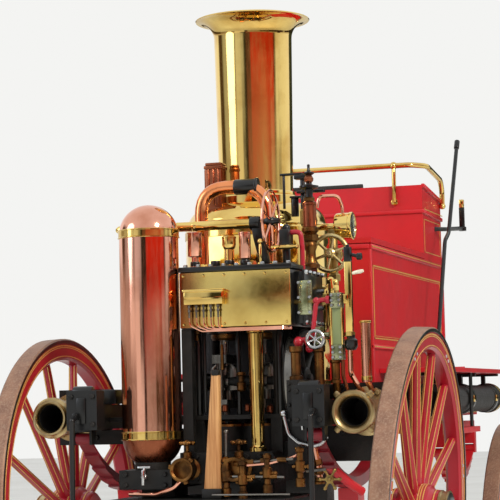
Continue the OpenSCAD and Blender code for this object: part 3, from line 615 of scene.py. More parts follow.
def eased(name, node_name, material, edge, body="carriage"):
    """A CAD node's shape with its corners eased, in place of the node."""
    whole = bmesh.new()
    whole.from_mesh(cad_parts[node_name].data)
    bmesh.ops.remove_doubles(whole, verts=whole.verts, dist=0.00002)
    bmesh.ops.dissolve_limit(whole, angle_limit=radians(0.6), verts=whole.verts, edges=whole.edges)
    made = shown(name, material, whole, body, (node_name,))
    easing = made.modifiers.new("eased", "BEVEL")
    easing.width, easing.segments, easing.limit_method = edge / 1000, 2, "ANGLE"
    easing.angle_limit, easing.harden_normals = radians(40), True
    return made


# Wheels

def wheel(name, side, r, track, y, body):
    """Wooden wheel on its leaning axle: shapes are made about Z, which points outward."""
    z = r * cos(radians(CAMBER)) + TYRE_W / 2 * sin(radians(CAMBER))
    at = shift(side * track / 2, y, z) @ Matrix.Rotation(radians(side * (90 + CAMBER)), 4, "Y")
    rim_in, rim_out = r - TYRE_T - FELLOE_D, r - TYRE_T
    cad = "wheel_" + name

    def put(name_end, material, parts):
        piece(cad + name_end, material, [placed(part, at) for part in parts], cad, body=body)

    put("_tyre", TYRE, [band(rim_out, r, -TYRE_W / 2, TYRE_W / 2, 5)])
    put("_tyre_edges", BLACK_PAINT,
        [band(rim_out - 1, r - 5, s * (TYRE_W / 2 - 0.2) - 1.2, s * (TYRE_W / 2 - 0.2) + 1.2, 0.5)
         for s in (-1, 1)])
    felloe = turned([(rim_in, -20), (rim_in + 9, -29), (rim_out, -31), (rim_out, 31),
                     (rim_in + 9, 29), (rim_in, 20)], 112, closed=True)
    spokes, lines = [], []
    tilt = -DISH / rim_in
    run = rim_in - HUB_R + 24
    for turn in turns(SPOKES, 0.5):
        out = turn @ shift(0, 0, -DISH) @ Matrix.Rotation(pi / 2 + tilt, 4, "Y")
        spoke = loft([(HUB_R - 16, 22, 15), (HUB_R + 20, 22, 14), (HUB_R + 0.3 * run, 19, 13),
                      (HUB_R + 0.75 * run, 16, 12), (HUB_R + run - 30, 15, 12),
                      (HUB_R + run, 15, 12)], 14)
        spokes.append(placed(spoke, out))
        a, b = HUB_R + 26, HUB_R + run - 34
        for s in (-1, 1):
            strip = block((s * 21.4 - 0.8, -1.6, a), (s * 21.4 + 0.8, 1.6, b), 0)
            lines.append(placed(strip, sheared(0, 2, -s * 6.4 / (b - a), a), out))
            for off in (-9, 9):
                strip = block((off - 1.2, s * 12.6 - 1, a), (off + 1.2, s * 12.6 + 1, b), 0)
                lines.append(placed(strip, sheared(1, 2, -s * 1.6 / (b - a), a), out))
    for s in (-1, 1):
        for ring_r, wide in ((rim_in + 14, 1.6), (rim_out - 16, 1.6), (rim_out - 9, 2.6)):
            lines.append(band(ring_r - wide, ring_r + wide, s * 30.2 - 0.9, s * 30.2 + 0.9, 0.3))
    put("_wood", CRIMSON, [felloe] + spokes)
    hub = turned([(0, -HUB_HALF), (NAVE_R - 12, -HUB_HALF), (NAVE_R - 4, -HUB_HALF + 6),
                  (NAVE_R, -HUB_HALF + 16), (NAVE_R, -74), (HUB_R - 6, -62), (HUB_R, -54),
                  (HUB_R, 28), (HUB_R - 4, 38), (NAVE_R + 4, 44), (NAVE_R, 50), (NAVE_R, 66),
                  (NAVE_R - 6, 70), (0, 70)], 72)
    put("_hub", CRIMSON, [hub])
    for ring_r, ring_z in ((NAVE_R + 0.6, -88), (HUB_R + 0.6, -48), (HUB_R + 0.6, -36),
                           (HUB_R + 0.6, 6), (HUB_R + 0.6, 14), (HUB_R + 0.6, 24),
                           (NAVE_R + 0.6, 56)):
        lines.append(band(ring_r - 2, ring_r + 0.5, ring_z - 2, ring_z + 2, 0.3))
    put("_lining", GOLD, lines)
    cap = turned([(0, 68), (NAVE_R - 4, 68), (NAVE_R, 70), (NAVE_R, 76), (NAVE_R - 4, 79),
                  (NAVE_R - 4, 96), (NAVE_R - 1, 98), (NAVE_R - 1, 101), (NAVE_R - 5, 103),
                  (0, 103)], 72)
    put("_hub_band", SATIN_BRASS, [cap])
    dish = [(0, 102), (NAVE_R - 10, 102), (NAVE_R - 8, 104), (NAVE_R - 12, 106), (60, 107),
            (0, 107)]
    put("_cap", BLACK_PAINT, [turned(dish, 72)])
    nut_head = [turned([(0, 106), (46, 106), (48, 107.2), (46, 108), (0, 108)], 56),
                stood((0, 0, 101.5), [(0, 0), (30, 0), (30, 5), (26, 7), (0, 7)], 6)]
    put("_cap_nut", STEEL, nut_head)
    bolts = []
    for turn in turns(SPOKES // 2):
        for s in (-1, 1):
            head = screw((rim_in + 32, s * 20, 0), (rim_in + 32, s * 20, 5), 6)
            bolts.append(placed(head, shift(0, 0, 29.5), turn))
    put("_joint_bolts", STEEL, bolts)


wheel("rear_left", -1, REAR_R, REAR_TRACK, 0, "rear_wheel_left")
wheel("rear_right", 1, REAR_R, REAR_TRACK, 0, "rear_wheel_right")
wheel("front_left", -1, FRONT_R, FRONT_TRACK, WHEELBASE, "front_wheel_left")
wheel("front_right", 1, FRONT_R, FRONT_TRACK, WHEELBASE, "front_wheel_right")


# Boiler and funnel

def on_boiler(part):
    return placed(part, shift(0, BOILER_Y, 0))


bell = FUNNEL_LIP - FUNNEL_NECK
neck = FUNNEL_TOP - bell
outer = [(FUNNEL_FOOT, COVER_Z - 4), (FUNNEL_NECK, neck)]
outer += arc((FUNNEL_LIP, neck), (-bell, bell), range(81, 0, -9))
lip = [(FUNNEL_LIP - 2, FUNNEL_TOP - 2), (FUNNEL_LIP, FUNNEL_TOP + 1),
       (FUNNEL_LIP - 3, FUNNEL_TOP + 3)]
inner = [(r - 4, z + 3) for r, z in reversed(outer[2:])]
funnel = outer + lip + inner + [(FUNNEL_NECK - 4, neck), (FUNNEL_FOOT - 4, COVER_Z - 4)]
piece("funnel_tube", BRASS, [on_boiler(turned(funnel, 128, closed=True))], "funnel")
piece("funnel_foot_ring", BRASS,
      [on_boiler(band(136, 158, COVER_Z - 12, COVER_Z + 24, 5)),
       on_boiler(band(136, 148, COVER_Z + 24, COVER_Z + 40, 4))])
cover = [(0, SHOULDER_Z - 5), (CLAD_R - 1, SHOULDER_Z - 5), (CLAD_R, SHOULDER_Z - 3),
         (CLAD_R, SHOULDER_Z + 6), (CLAD_R - 4, SHOULDER_Z + 10)]
cover += arc((156, SHOULDER_Z + 10), (106, 84), range(84, -1, -6))
cover += [(140, SHOULDER_Z + 95), (0, SHOULDER_Z + 95)]
piece("boiler_dome", BRASS, [on_boiler(turned(cover, 128))], "boiler_cover")
casing = [block((-133, 92, SHOULDER_Z - 4), (-72, 153, 1938), 3),
          block((-138, 87, 1930), (-67, 158, 1944), 4),
          block((-134, 91, 1944), (-71, 154, 1955), 5),
          block((-139, 86, SHOULDER_Z + 60), (-66, 159, SHOULDER_Z + 74), 3)]
casing += [post(x, 90, 1800, 1930, 4) for x in (-122, -103, -84)]
casing += [post(-136, y, 1800, 1930, 4) for y in (104, 123, 142)]
piece("valve_casing", OLD_COPPER, casing, "boiler_cover")
cladding = [(CLAD_R - 1, CLAD_Z0), (CLAD_R, CLAD_Z0 + 2), (CLAD_R, SHOULDER_Z - 2),
            (CLAD_R - 1, SHOULDER_Z), (BOILER_R + 1, SHOULDER_Z), (BOILER_R + 1, CLAD_Z0)]
piece("boiler_cladding_sheet", BRASS, [on_boiler(turned(cladding, 128, closed=True))],
      "boiler_cladding")
hoops = []
for z in (CLAD_Z0 + 22, 1310, 1510, SHOULDER_Z - 22):
    hoops.append(on_boiler(band(CLAD_R - 1, CLAD_R + 2.5, z - 15, z + 15, 1.2, 128)))
    hoops += [placed(screw((0, 0, 0), (0, 0, 5), 6), ALONG_Y, shift(x, BOILER_Y + CLAD_R + 2, z))
              for x in (12, -12)]
piece("boiler_bands", BRASS, hoops)
rivets = []
for z in (478, 510, 1080):
    for turn in turns(44):
        rivets.append(on_boiler(placed(screw((BOILER_R - 1, 0, z), (BOILER_R + 6, 0, z), 8), turn)))
piece("boiler_rivets", IRON, rivets)
plugs = []
for degrees in (35, 145, 215, 325):
    for z in (560, 1040):
        for part in (drum(34, 0, 14, 3), nut((0, 0, 12), (0, 0, 26), 30)):
            plugs.append(on_boiler(placed(part, ALONG_X, shift(BOILER_R - 4, 0, z), by(degrees))))
piece("mud_hole_plugs", BRASS, plugs)
for name in ("boiler_shell", "ash_pan", "fire_door"):
    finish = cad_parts[name].data.materials
    finish.clear()
    finish.append(IRON)

# Copper exhaust loop with its black union
loop = [(-86, LOOP_Y, BLOCK_TOP - 2), (-88, LOOP_Y, 1640), (-88, LOOP_Y, LOOP_Z),
        (164, LOOP_Y, LOOP_Z), (162, LOOP_Y, BLOCK_TOP - 2)]
piece("exhaust_loop", WARM_COPPER, [pipe(loop, 24, 118, 7)], "exhaust_pipe")
union = [placed(drum(28, 0, 84, 6), ALONG_X, shift(39, LOOP_Y, LOOP_Z - 2)),
         placed(drum(31, 0, 9, 2), ALONG_X, shift(118, LOOP_Y, LOOP_Z - 2))]
piece("exhaust_union", BLACK_PAINT, union)
flange = [(0, 0), (38, 0), (38, 9), (30, 12), (26, 26), (0, 26)]
piece("exhaust_flanges", BRASS, [stood((x, LOOP_Y, BLOCK_TOP - 1), flange, 40) for x in (-86, 162)])


# Engine block

cylinders = [block((BLOCK_X0, BLOCK_BACK, BLOCK_Z0), (BLOCK_X1, BLOCK_FRONT, BLOCK_Z1), 4),
             block((BLOCK_X0 - 3, BLOCK_BACK - 12, BLOCK_Z1),
                   (BLOCK_X1 + 8, BLOCK_FRONT, BLOCK_TOP), 4),
             block((40, BLOCK_FRONT - 4, BLOCK_Z0 + 40), (160, 44, BLOCK_Z0 + 90), 3)]
gland = [(0, 0), (58, 0), (58, -14), (46, -18), (34, -34), (0, -34)]
cylinders += [stood((x, ENGINE_Y, BLOCK_Z0 + 2), gland, 48) for x in ROD_XS]
piece("cylinder_block", BLACK_PAINT, cylinders, "steam_cylinders")
chest = [block((BLOCK_X1 - 2, -300, BLOCK_Z0 + 8), (BLOCK_X1 + 30, -78, BLOCK_Z1 - 8), 4),
         block((BLOCK_X1 + 28, -308, BLOCK_Z0 + 2), (BLOCK_X1 + 38, -70, BLOCK_Z1 - 2), 3)]
piece("valve_chest", BLACK_PAINT, chest)
chest_z0, chest_z1 = BLOCK_Z0 + 12, BLOCK_Z1 - 12
places = [(y, z) for y in (-298, -244, -190, -136, -80) for z in (chest_z0, chest_z1)]
places += [(y, z) for z in (BLOCK_Z0 + 68, BLOCK_Z0 + 128) for y in (-298, -80)]
chest_nuts = nuts([(BLOCK_X1 + 37, y, z) for y, z in places], (11, 0, 0), 15)
chest_nuts += nuts([(x, y, BLOCK_TOP - 1) for x in range(-70, 301, 46) for y in (-340, -32)],
                   (0, 0, 10), 15)
piece("block_nuts", STEEL, chest_nuts)

# Brass sheet over the block's back, with its screws
face_y = BLOCK_BACK - 6
lagging = [block((BLOCK_X0, face_y, BLOCK_Z0 + 4), (BLOCK_X1, BLOCK_BACK + 2, BLOCK_Z1 - 1), 2.5)]
piece("lagging_sheet", SHEET_BRASS, lagging, "cylinder_lagging")
lag_screws = []
for i in range(6):
    x = BLOCK_X0 + 14 + i * (BLOCK_X1 - BLOCK_X0 - 28) / 5
    for z in (BLOCK_Z0 + 16, BLOCK_Z1 - 13):
        lag_screws.append(screw((x, face_y, z), (x, face_y - 4, z), 5))
piece("lagging_screws", BRASS, lag_screws)

# Sight-feed lubricator with its drip glasses and pipes
oiler = [block((-63, face_y - 34, 1408), (77, face_y, 1456), 4),
         block((-67, face_y - 38, 1452), (81, face_y + 1, 1461), 3)]
piece("oil_box", BRASS, oiler, "lubricators")
fittings, feeds = [], []
glass_y = face_y - 12
for i in range(5):
    x = -50 + 26 * i
    fittings += [post(x, glass_y, 1409, 1400, 6), post(x, glass_y, 1402, 1364, 3.4),
                 post(x, glass_y, 1392, 1384, 5.5)]
    run_y, run_z = face_y - 9, 1317 + 2 * i
    feeds.append(pipe([(x, glass_y, 1366), (x, face_y - 10, 1338 - 4 * i), (x + 44, run_y, run_z),
                       (BLOCK_X1 - 30, run_y, run_z), (BLOCK_X1 - 4, face_y + 20, run_z)],
                      2.6, 22, 2))
piece("sight_feeds", OILY_STEEL, fittings)
piece("oil_feed_pipes", COPPER, feeds)


def oil_cup(x, r, low, high, neck, bowl):
    """Turned lubricator cup on the block's top; bowl is how far its underside is rounded."""
    profile = [(0, BLOCK_TOP - 1), (neck + 5, BLOCK_TOP - 1), (neck + 5, BLOCK_TOP + 5),
               (neck, BLOCK_TOP + 8), (neck, low - 1)]
    profile += arc((neck, low + bowl), (r - neck, -bowl), range(15, 91, 15))
    profile += [(r, high - 8), (r + 1.6, high - 7), (r + 1.6, high - 3), (r - 3, high),
                (0, high + 2)]
    return stood((x, ROW_Y, 0), profile, 48)


piece("oil_cups_copper", COPPER,
      [oil_cup(-44, 25, 1576, 1664, 12, 4), oil_cup(137, 20.5, 1562, 1657, 10, 4)])
piece("oil_cup_brass", BRASS, [oil_cup(80, 24, 1599, 1644, 14, 18)], "lubricators")
piece("oil_cup_collars", BLACK_PAINT,
      [placed(drum(17, 0, 22, 3), shift(x, ROW_Y, BLOCK_TOP - 1)) for x in (-44, 80, 137, 30)])
piece("oil_cup_knobs", BRASS,
      [knob(192, ROW_Y, 1622, 9), post(192, ROW_Y, 1612, 1541, 5),
       placed(drum(11, 0, 8), shift(192, ROW_Y, 1540))])

# Grab rail across the back
rail_y, rail_z = -227, 1692
rail = [(0, -22), (7, -20), (13, -12), (17, 0), (17, 495), (0, 495)]
piece("grab_rail", BRASS, [stood((-345, rail_y, rail_z), rail, 32, ALONG_X)], "rear_handrail")
piece("grab_rail_ball", BRASS,
      [knob(-333, rail_y, rail_z, 21),
       stood((-316, rail_y, rail_z), [(0, 0), (20, 0), (22, 4), (20, 8), (0, 8)], 32, ALONG_X),
       post(-70, rail_y, BLOCK_TOP, rail_z, 8),
       placed(drum(15, 0, 8, 2), shift(-70, rail_y, BLOCK_TOP - 1)), knob(-70, rail_y, rail_z, 19)])
slope = plate([(136, 1712), (168, 1712), (178, 1660), (204, 1541), (170, 1541), (146, 1640)], 30)
piece("grab_rail_bracket", BLACK_PAINT,
      [placed(slope, shift(0, rail_y - 15, 0)),
       placed(drum(24, 0, 36, 3), ALONG_X, shift(134, rail_y, rail_z))])

# Starting wheel on its cross shaft
wheel_at = (208, rail_y, 1697)
spun = [placed(hoop(107, 5), ALONG_X, shift(*wheel_at))]
piece("starting_wheel_rim", COPPER, spun, "regulator_wheel")
spokes = arms([(-104, 3.4, 2.6), (-30, 4.6, 3.2), (30, 4.6, 3.2), (104, 3.4, 2.6)], 10,
              (12, 72, 132), "X", wheel_at)
piece("starting_wheel_spokes", COPPER, spokes, "regulator_wheel")
boss = [(0, -18), (12, -18), (15, -12), (15, 8), (11, 14), (10, 30), (0, 30)]
piece("starting_wheel_boss", BLACK_PAINT,
      [stood(wheel_at, boss, 32, ALONG_X), bar((160, rail_y, 1697), wheel_at, 10)],
      "regulator_wheel")
handle = [(0, 0), (6, 0), (6, 8), (8, 14), (9, 60), (7, 86), (9, 90), (7, 96), (0, 97)]
piece("starting_wheel_handle", BRASS, [stood((208, rail_y, 1605), handle, 24, ALONG_X)])


# Air vessel

def at_vessel(part):
    return placed(part, shift(VESSEL_X, VESSEL_Y, 0))


vessel = arc((0, VESSEL_TOP - VESSEL_R), (VESSEL_R, VESSEL_R), range(0, 91, 6))
vessel += [(VESSEL_R, 966), (VESSEL_R - 1, 965), (0, 965)]
piece("air_vessel_shell", COPPER, [at_vessel(turned(vessel, 96))], "air_vessel")
bowl = [(0, VESSEL_BOTTOM)]
bowl += arc((0, VESSEL_BOTTOM + VESSEL_R), (VESSEL_R, -VESSEL_R), range(6, 91, 6))
piece("air_vessel_bowl", OLD_COPPER, [at_vessel(turned(bowl + [(VESSEL_R, 970), (0, 970)], 96))],
      "air_vessel")
straps = []
for z in (1660, 966):
    straps += [at_vessel(band(VESSEL_R - 2, VESSEL_R + 2.5, z - 14, z + 14, 1.2)),
               at_vessel(band(VESSEL_R - 2, VESSEL_R + 4.5, z + 10, z + 15, 1.5)),
               at_vessel(band(VESSEL_R - 2, VESSEL_R + 4.5, z - 15, z - 10, 1.5))]
piece("air_vessel_bands", BRASS, straps, "air_vessel")
piece("air_vessel_cock", STEEL,
      [bar((VESSEL_X, -410, 828), (VESSEL_X, -452, 828), 8), post(VESSEL_X, -452, 800, 852, 6),
       knob(VESSEL_X, -440, 828, 12), post(VESSEL_X, -440, 828, 858, 5),
       bar((VESSEL_X - 23, -440, 860), (VESSEL_X + 23, -440, 860), 5)])


# Steam stand, gauge and feed wheel on the right

def on_stand(profile, around):
    return stood((STAND_X, STAND_Y, 0), profile, around)


stand = [(0, BLOCK_TOP - 1), (32, BLOCK_TOP - 1), (32, BLOCK_TOP + 12), (25, BLOCK_TOP + 16),
         (19, BLOCK_TOP + 30), (18, 1600), (23, 1612), (23, 1624), (18, 1636), (20, 1660),
         (30, 1670), (30, 1682), (0, 1682)]
barrel = [(0, 1680), (20, 1680), (24, 1686), (24, 1762), (26, 1764), (26, 1772), (18, 1778),
          (0, 1778)]
saucer = [(0, 1776), (15, 1776), (13, 1800), (15, 1818), (32, 1823), (34, 1826), (34, 1832),
          (14, 1836), (10, 1842), (0, 1842)]
bulb = [(0, 1838), (8, 1840), (16, 1850), (17, 1858), (12, 1868), (7, 1874), (0, 1874)]
cap = [(0, 1868), (8, 1868), (20, 1876), (20, 1880), (8, 1884), (5, 1890), (5, 1908), (0, 1910)]
piece("stand_foot", BRONZE, [on_stand(stand, 40)], "safety_valve_stand")
piece("stand_barrel", OLD_COPPER, [on_stand(barrel, 40)], "safety_valve_stand")
piece("stand_top", BLACK_PAINT, [on_stand(saucer, 40), on_stand(cap, 32)], "safety_valve_stand")
piece("stand_bulb", OLD_COPPER, [on_stand(bulb, 32)])
piece("stand_nuts", BRONZE,
      [nut((STAND_X, STAND_Y, 1636), (STAND_X, STAND_Y, 1662), 54),
       placed(band(19, 29, 1672, 1684, 2, 40), shift(STAND_X, STAND_Y, 0)),
       nut((STAND_X, STAND_Y, 1778), (STAND_X, STAND_Y, 1792), 36)])

gauge_at, gauge_r = (368, 60, 1693), 48
case = [(0, 0), (gauge_r - 6, 0), (gauge_r - 2, 4), (gauge_r - 1, 12), (gauge_r - 1, 50),
        (gauge_r + 1, 52), (gauge_r + 1.5, 56), (gauge_r + 1.5, 61), (gauge_r - 1, 63),
        (gauge_r - 4, 63), (gauge_r - 6, 58), (0, 58)]
piece("gauge_case", BRASS,
      [stood(gauge_at, case, 64, ALONG_X), bar((262, 60, 1693), (370, 60, 1693), 12)],
      "pressure_gauge")
piece("gauge_dial", DIAL,
      [placed(drum(gauge_r - 5, 57.5, 58.6, 0.3, 48), ALONG_X, shift(*gauge_at))], "pressure_gauge")
marks = []
for i in range(25):
    a = radians(-135 + i * 270 / 24)
    long = 9 if i % 4 == 0 else 5
    tick = block((-0.6, 38 - long, 0), (0.6, 38, 0.4), 0)
    marks.append(placed(tick, Matrix.Rotation(-a, 4, "Z"), shift(0, 0, 58.6)))
marks.append(placed(block((-1.2, -12, 0), (1.2, 30, 0.8), 0), by(60), shift(0, 0, 59.2)))
marks.append(drum(4, 58.6, 61, 0.5))
on_gauge = shift(*gauge_at) @ ALONG_X @ Matrix.Rotation(pi / 2, 4, "Z")
piece("gauge_marks", INK, [placed(mark, on_gauge) for mark in marks])


def numeral(text, place, size):
    """Generic dial numeral as a thin mesh, standing on the dial."""
    words = bpy.data.curves.new("numeral", "FONT")
    words.body, words.size, words.extrude, words.resolution_u = text, size, 0.2, 2
    words.align_x = words.align_y = "CENTER"
    return placed(meshed(words), place)


numerals = []
for i in range(7):
    a = radians(-135 + i * 45)
    spot = on_gauge @ shift(23 * sin(a), 23 * cos(a), 58.8)
    numerals.append(numeral(str(i * 20), spot, 8))
piece("gauge_numerals", INK, numerals)
piece("gauge_pane", GLASS, [placed(drum(gauge_r - 4, 61, 62, 0.3, 48), ALONG_X, shift(*gauge_at))])
piece("gauge_siphon", COPPER,
      [pipe([(STAND_X + 10, 20, 1760), (STAND_X + 16, 20, 1801), (385, 30, 1801), (392, 58, 1766),
             (392, 60, 1740)], 6, 26)])

brass_wheel = [placed(hoop(63, 8.5, around=72, sides=14), REARWARD, shift(FEED_X, -10, FEED_Z))]
brass_wheel += arms([(10, 7, 4), (24, 6, 4), (48, 5, 3.6), (64, 7, 4)], 12, range(12, 372, 60), "Y",
                    (FEED_X, -9, FEED_Z))
boss = [(0, -16), (16, -16), (18, -10), (18, 6), (12, 10), (12, 16), (0, 16)]
brass_wheel += [stood((FEED_X, -9, FEED_Z), boss, 32, REARWARD),
                nut((FEED_X, -24, FEED_Z), (FEED_X, -36, FEED_Z), 18)]
piece("feed_wheel_brass", PALE_BRASS, brass_wheel, "feed_wheel")
neck = [(0, 0), (13, 0), (13, 14), (22, 18), (22, 30), (16, 36), (16, 60), (26, 64), (26, 76),
        (0, 76)]
valve_body = [stood((FEED_X, 0, FEED_Z), neck, 32, ALONG_Y),
              post(FEED_X, 40, FEED_Z - 140, FEED_Z + 70, 15), knob(FEED_X, 42, FEED_Z, 26),
              nut((FEED_X, 40, FEED_Z + 66), (FEED_X, 40, FEED_Z + 90), 40),
              nut((FEED_X, 40, FEED_Z - 96), (FEED_X, 40, FEED_Z - 70), 40),
              block((FEED_X - 13, 10, FEED_Z - 150), (FEED_X + 13, 34, FEED_Z - 110)),
              block((BLOCK_X1 - 2, -60, FEED_Z - 150), (FEED_X + 13, -36, FEED_Z - 120), 3),
              block((FEED_X - 13, -60, FEED_Z - 150), (FEED_X + 13, 34, FEED_Z - 120), 3)]
piece("feed_valve_body", GUNMETAL, valve_body, "feed_wheel")

# Whistle and its black bracket beside the funnel
bracket = [post(165, 100, 1770, 1896, 5), post(236, 100, 1750, 1896, 9),
           block((152, 92, 1890), (256, 108, 1899)), block((206, 84, 1874), (262, 116, 1892), 4),
           block((190, 80, 1806), (270, 120, 1814), 3), post(205, 100, 1740, 1808, 14),
           post(246, 60, 1700, 1822, 8), block((228, 40, 1818), (330, 62, 1828))]
piece("whistle_bracket", BLACK_PAINT, bracket)
whistle = [(0, 0), (9, 0), (9, 10), (16, 14), (16, 60), (12, 66), (6, 70), (6, 84), (0, 86)]
cup = [(0, 0), (14, 0), (20, 20), (14, 42), (18, 46), (10, 60), (0, 60)]
piece("whistle", GUNMETAL,
      [stood((262, 20, 1690), whistle, 28), post(262, 20, 1620, 1692, 8),
       stood((275, 75, 1700), cup, 28)])


# Engine below the cylinders

eased("engine_bed_and_pillars", "engine_frame", IRON, 1.5)
# Flat black iron sheet behind the engine's pillars: painted shade, standing in for the shadow and
# dark undergear seen through the gap
piece("shade_sheet_behind_engine", IRON, [block((-186, -30, 700), (332, -23, 1326), 1)])
column = [(0, PUMP_TOP), (31, PUMP_TOP), (31, 916), (26, 920), (22, 926), (27, 1306), (31, 1310),
          (31, BLOCK_Z0), (0, BLOCK_Z0)]
piece("ram_column_tube", BRASS, [stood((COLUMN_X, ROW_Y, 0), column, 56)], "ram_column")
rim = [(144, -23), (170, -23), (176, -19), (176, 19), (170, 23), (144, 23), (140, 14), (140, -14)]
fly = [placed(turned(rim, 96, closed=True), ALONG_X, shift(*FLYWHEEL)),
       stood(FLYWHEEL, [(0, -23), (38, -23), (42, -18), (42, 18), (38, 23), (0, 23)], 40, ALONG_X),
       bar((-110, ENGINE_Y, CRANK_Z), (326, ENGINE_Y, CRANK_Z), 20)]
fly += arms([(36, 17, 10), (60, 14, 8), (120, 12, 7), (146, 16, 9)], 14, range(10, 370, 60), "X",
            FLYWHEEL)
piece("flywheel_casting", IRON, fly, "flywheel")
piece("flywheel_bright_rim", OILY_STEEL,
      [placed(band(175, 176.8, -15, 15, 0.5), ALONG_X, shift(*FLYWHEEL))])
eased("piston_rods_and_yokes", "motion_rods", OILY_STEEL, 1.5)
cranks = []
for x in ROD_XS:
    for s in (-1, 1):
        cranks.append(placed(loft([(-30, 34, 12), (0, 36, 14), (48, 26, 12), (60, 10, 8)], 24),
                             shift(x + s * 24, ENGINE_Y, CRANK_Z)))
    cranks.append(placed(drum(24, -18, 18, 2), ALONG_X, shift(x, ENGINE_Y, CRANK_Z)))
piece("crank_webs", OILY_STEEL, cranks)
eased("pump_castings", "pump_body", IRON, 3)
glands = []
for x in ROD_XS:
    for z, r in ((990, 78), (1000, 52)):
        gland = [(0, 0), (r, 0), (r, 8), (r - 6, 14), (20, 16), (0, 16)]
        glands.append(stood((x, ENGINE_Y, z), gland, 48))
    glands.append(stood((x, ENGINE_Y, 1290), [(0, 0), (40, 0), (46, 8), (46, 36), (0, 36)], 40))
piece("gland_rings", BRONZE, glands)
studs = []
for x in ROD_XS:
    studs += [placed(nut((66, 0, 996), (66, 0, 1012), 18), turn, shift(x, ENGINE_Y, 0))
              for turn in turns(8, 0.5)]
studs += nuts([(x, -364, z) for x in range(-80, 236, 45) for z in (815, 890)], (0, -12, 0), 17)
studs += nuts([(x, -231, z) for x in (-450, 450) for z in (960, 1020, 1080, 1118)], (0, -12, 0), 16)
studs += nuts([(x, -429, z) for x in (-270, -128) for z in (800, 836)], (0, -11, 0), 16)
studs += nuts([(x, -419, z) for z in (1010, 1060, 1110, 1130) for x in (313, 364)], (0, -11, 0), 12)
piece("pump_nuts", IRON, studs)

# Columns and small fittings seen between the pillars
piece("drain_columns", BLACK_PAINT,
      [post(-60, -250, 1030, 1330, 13), post(235, -250, 1030, 1330, 15),
       post(86, -250, 1030, 1330, 8), post(-34, -262, 1040, 1326, 7)])
slide = [(0, 1110), (12, 1110), (16, 1116), (16, 1140), (11, 1144), (11, 1162), (16, 1166),
         (16, 1176), (0, 1178)]
piece("slide_gland", BRONZE,
      [stood((96, -255, 0), slide, 28), post(30, -260, 1186, 1274, 6),
       stood((-84, -255, 1262), [(0, 0), (12, 0), (18, 10), (18, 22), (12, 32), (0, 32)], 28),
       stood((-60, -262, 1290), [(0, 0), (8, 0), (8, 18), (14, 22), (14, 34), (0, 34)], 28)])
oil_pot = [(0, 0), (9, 0), (12, 4), (12, 22), (7, 27), (0, 27)]
piece("oilers_on_guides", OLD_COPPER,
      [stood((x, -262, z), oil_pot, 24)
       for x, z in ((-94, 1296), (120, 1040), (36, 1040), (200, 1034))])

# Delivery valves with their star wheels and drain cocks
outlet = [(0, 0), (38, 0), (38, 10), (28, 14), (28, 46), (30, 50), (40, 56), (40, 100), (36, 100),
          (30, 96), (30, 66), (0, 66)]
bonnet = [(0, 0), (24, 0), (24, 20), (16, 26), (16, 44), (12, 48), (0, 48)]
for number, x in enumerate(DELIVERY_XS):
    y = DELIVERY_Y
    body = [stood((x, y, DELIVERY_Z), outlet, 48, REARWARD), stood((x, y - 30, 862), bonnet, 36)]
    piece("delivery_valve_%d" % number, BRONZE, body, "delivery_valves")
    lugs = [placed(block((36, -8, 76), (50, 8, 92), 3), Matrix.Rotation(a, 4, "Z"), REARWARD,
                   shift(x, y, DELIVERY_Z)) for a in (0.8, 2.9, 5.0)]
    lugs.append(post(x, y - 30, 905, 944, 6))
    piece("delivery_lugs_%d" % number, BRONZE, lugs, "delivery_valves")
    disc = turned([(8, -5), (20, -6), (22, 0), (20, 6), (8, 5)], 40, closed=True)
    star = [placed(disc, shift(x, y - 30, 938)), knob(x, y - 30, 940, 10)]
    star += [placed(knob(21, 0, 0, 8), turn, shift(x, y - 30, 938)) for turn in turns(5)]
    piece("delivery_star_wheel_%d" % number, BRONZE, star, "delivery_valves")

cocks = []
cock = [(0, 0), (16, 0), (16, 26), (11, 30), (11, 46), (17, 52), (17, 82), (11, 88), (11, 112),
        (15, 116), (15, 126), (8, 132), (0, 132)]
for x, y, z in ((97, -450, 760), (353, -450, 790), (155, -455, 748), (240, -450, 770)):
    cocks += [stood((x, y, z), cock, 28), bar((x - 26, y, z + 66), (x + 26, y, z + 66), 6),
              knob(x + 28, y, z + 66, 8)]
piece("drain_cocks", BRONZE, cocks)
ties = [bar((150, -445, 871), (330, -445, 882), 5), bar((120, -455, 826), (300, -455, 822), 5),
        bar((60, -498, 768), (330, -498, 768), 3), bar((97, -450, 890), (99, -450, 974), 5),
        knob(99, -450, 976, 8), bar((372, -445, 840), (440, -445, 846), 5)]
piece("cock_rods", OILY_STEEL, ties)
sleeves = [placed(drum(9, -16, 16, 2), ALONG_X, shift(x, -445, 871 + (x - 150) * 0.061))
           for x in (176, 232, 290)]
sleeves += [placed(drum(8, -14, 14, 2), ALONG_X, shift(x, -455, 824)) for x in (186, 262)]
piece("rod_sleeves", BRONZE, sleeves)
piece("pump_pet_pipes", COPPER,
      [pipe([(392, -400, 930), (392, -400, 918), (401, -400, 869), (407, -400, 800)], 11),
       pipe([(138, -446, 868), (171, -452, 862), (250, -450, 868), (316, -440, 884),
             (352, -430, 900)], 5, 60),
       pipe([(-250, -450, 770), (-150, -460, 768), (-90, -450, 790), (-70, -440, 812)], 7, 40)])
piece("pet_pipe_unions", BRONZE,
      [nut((398, -400, 876), (402, -400, 856), 32), nut((402, -400, 850), (404, -400, 826), 36),
       nut((140, -446, 868), (122, -444, 870), 20),
       stood((404, -400, -4), [(0, 800), (20, 800), (20, 806), (14, 810), (14, 822), (0, 826)],
             24)])
star = [placed(drum(14, -6, 8, 2), REARWARD, shift(446, -420, 812)),
        nut((446, -428, 812), (446, -440, 812), 14)]
for turn in turns(6):
    arm = loft([(10, 5, 5), (26, 4, 4), (34, 7, 7), (40, 4, 4)], 12)
    star.append(placed(arm, ALONG_X, turn, REARWARD, shift(446, -420, 812)))
piece("star_handle", GUNMETAL, star)
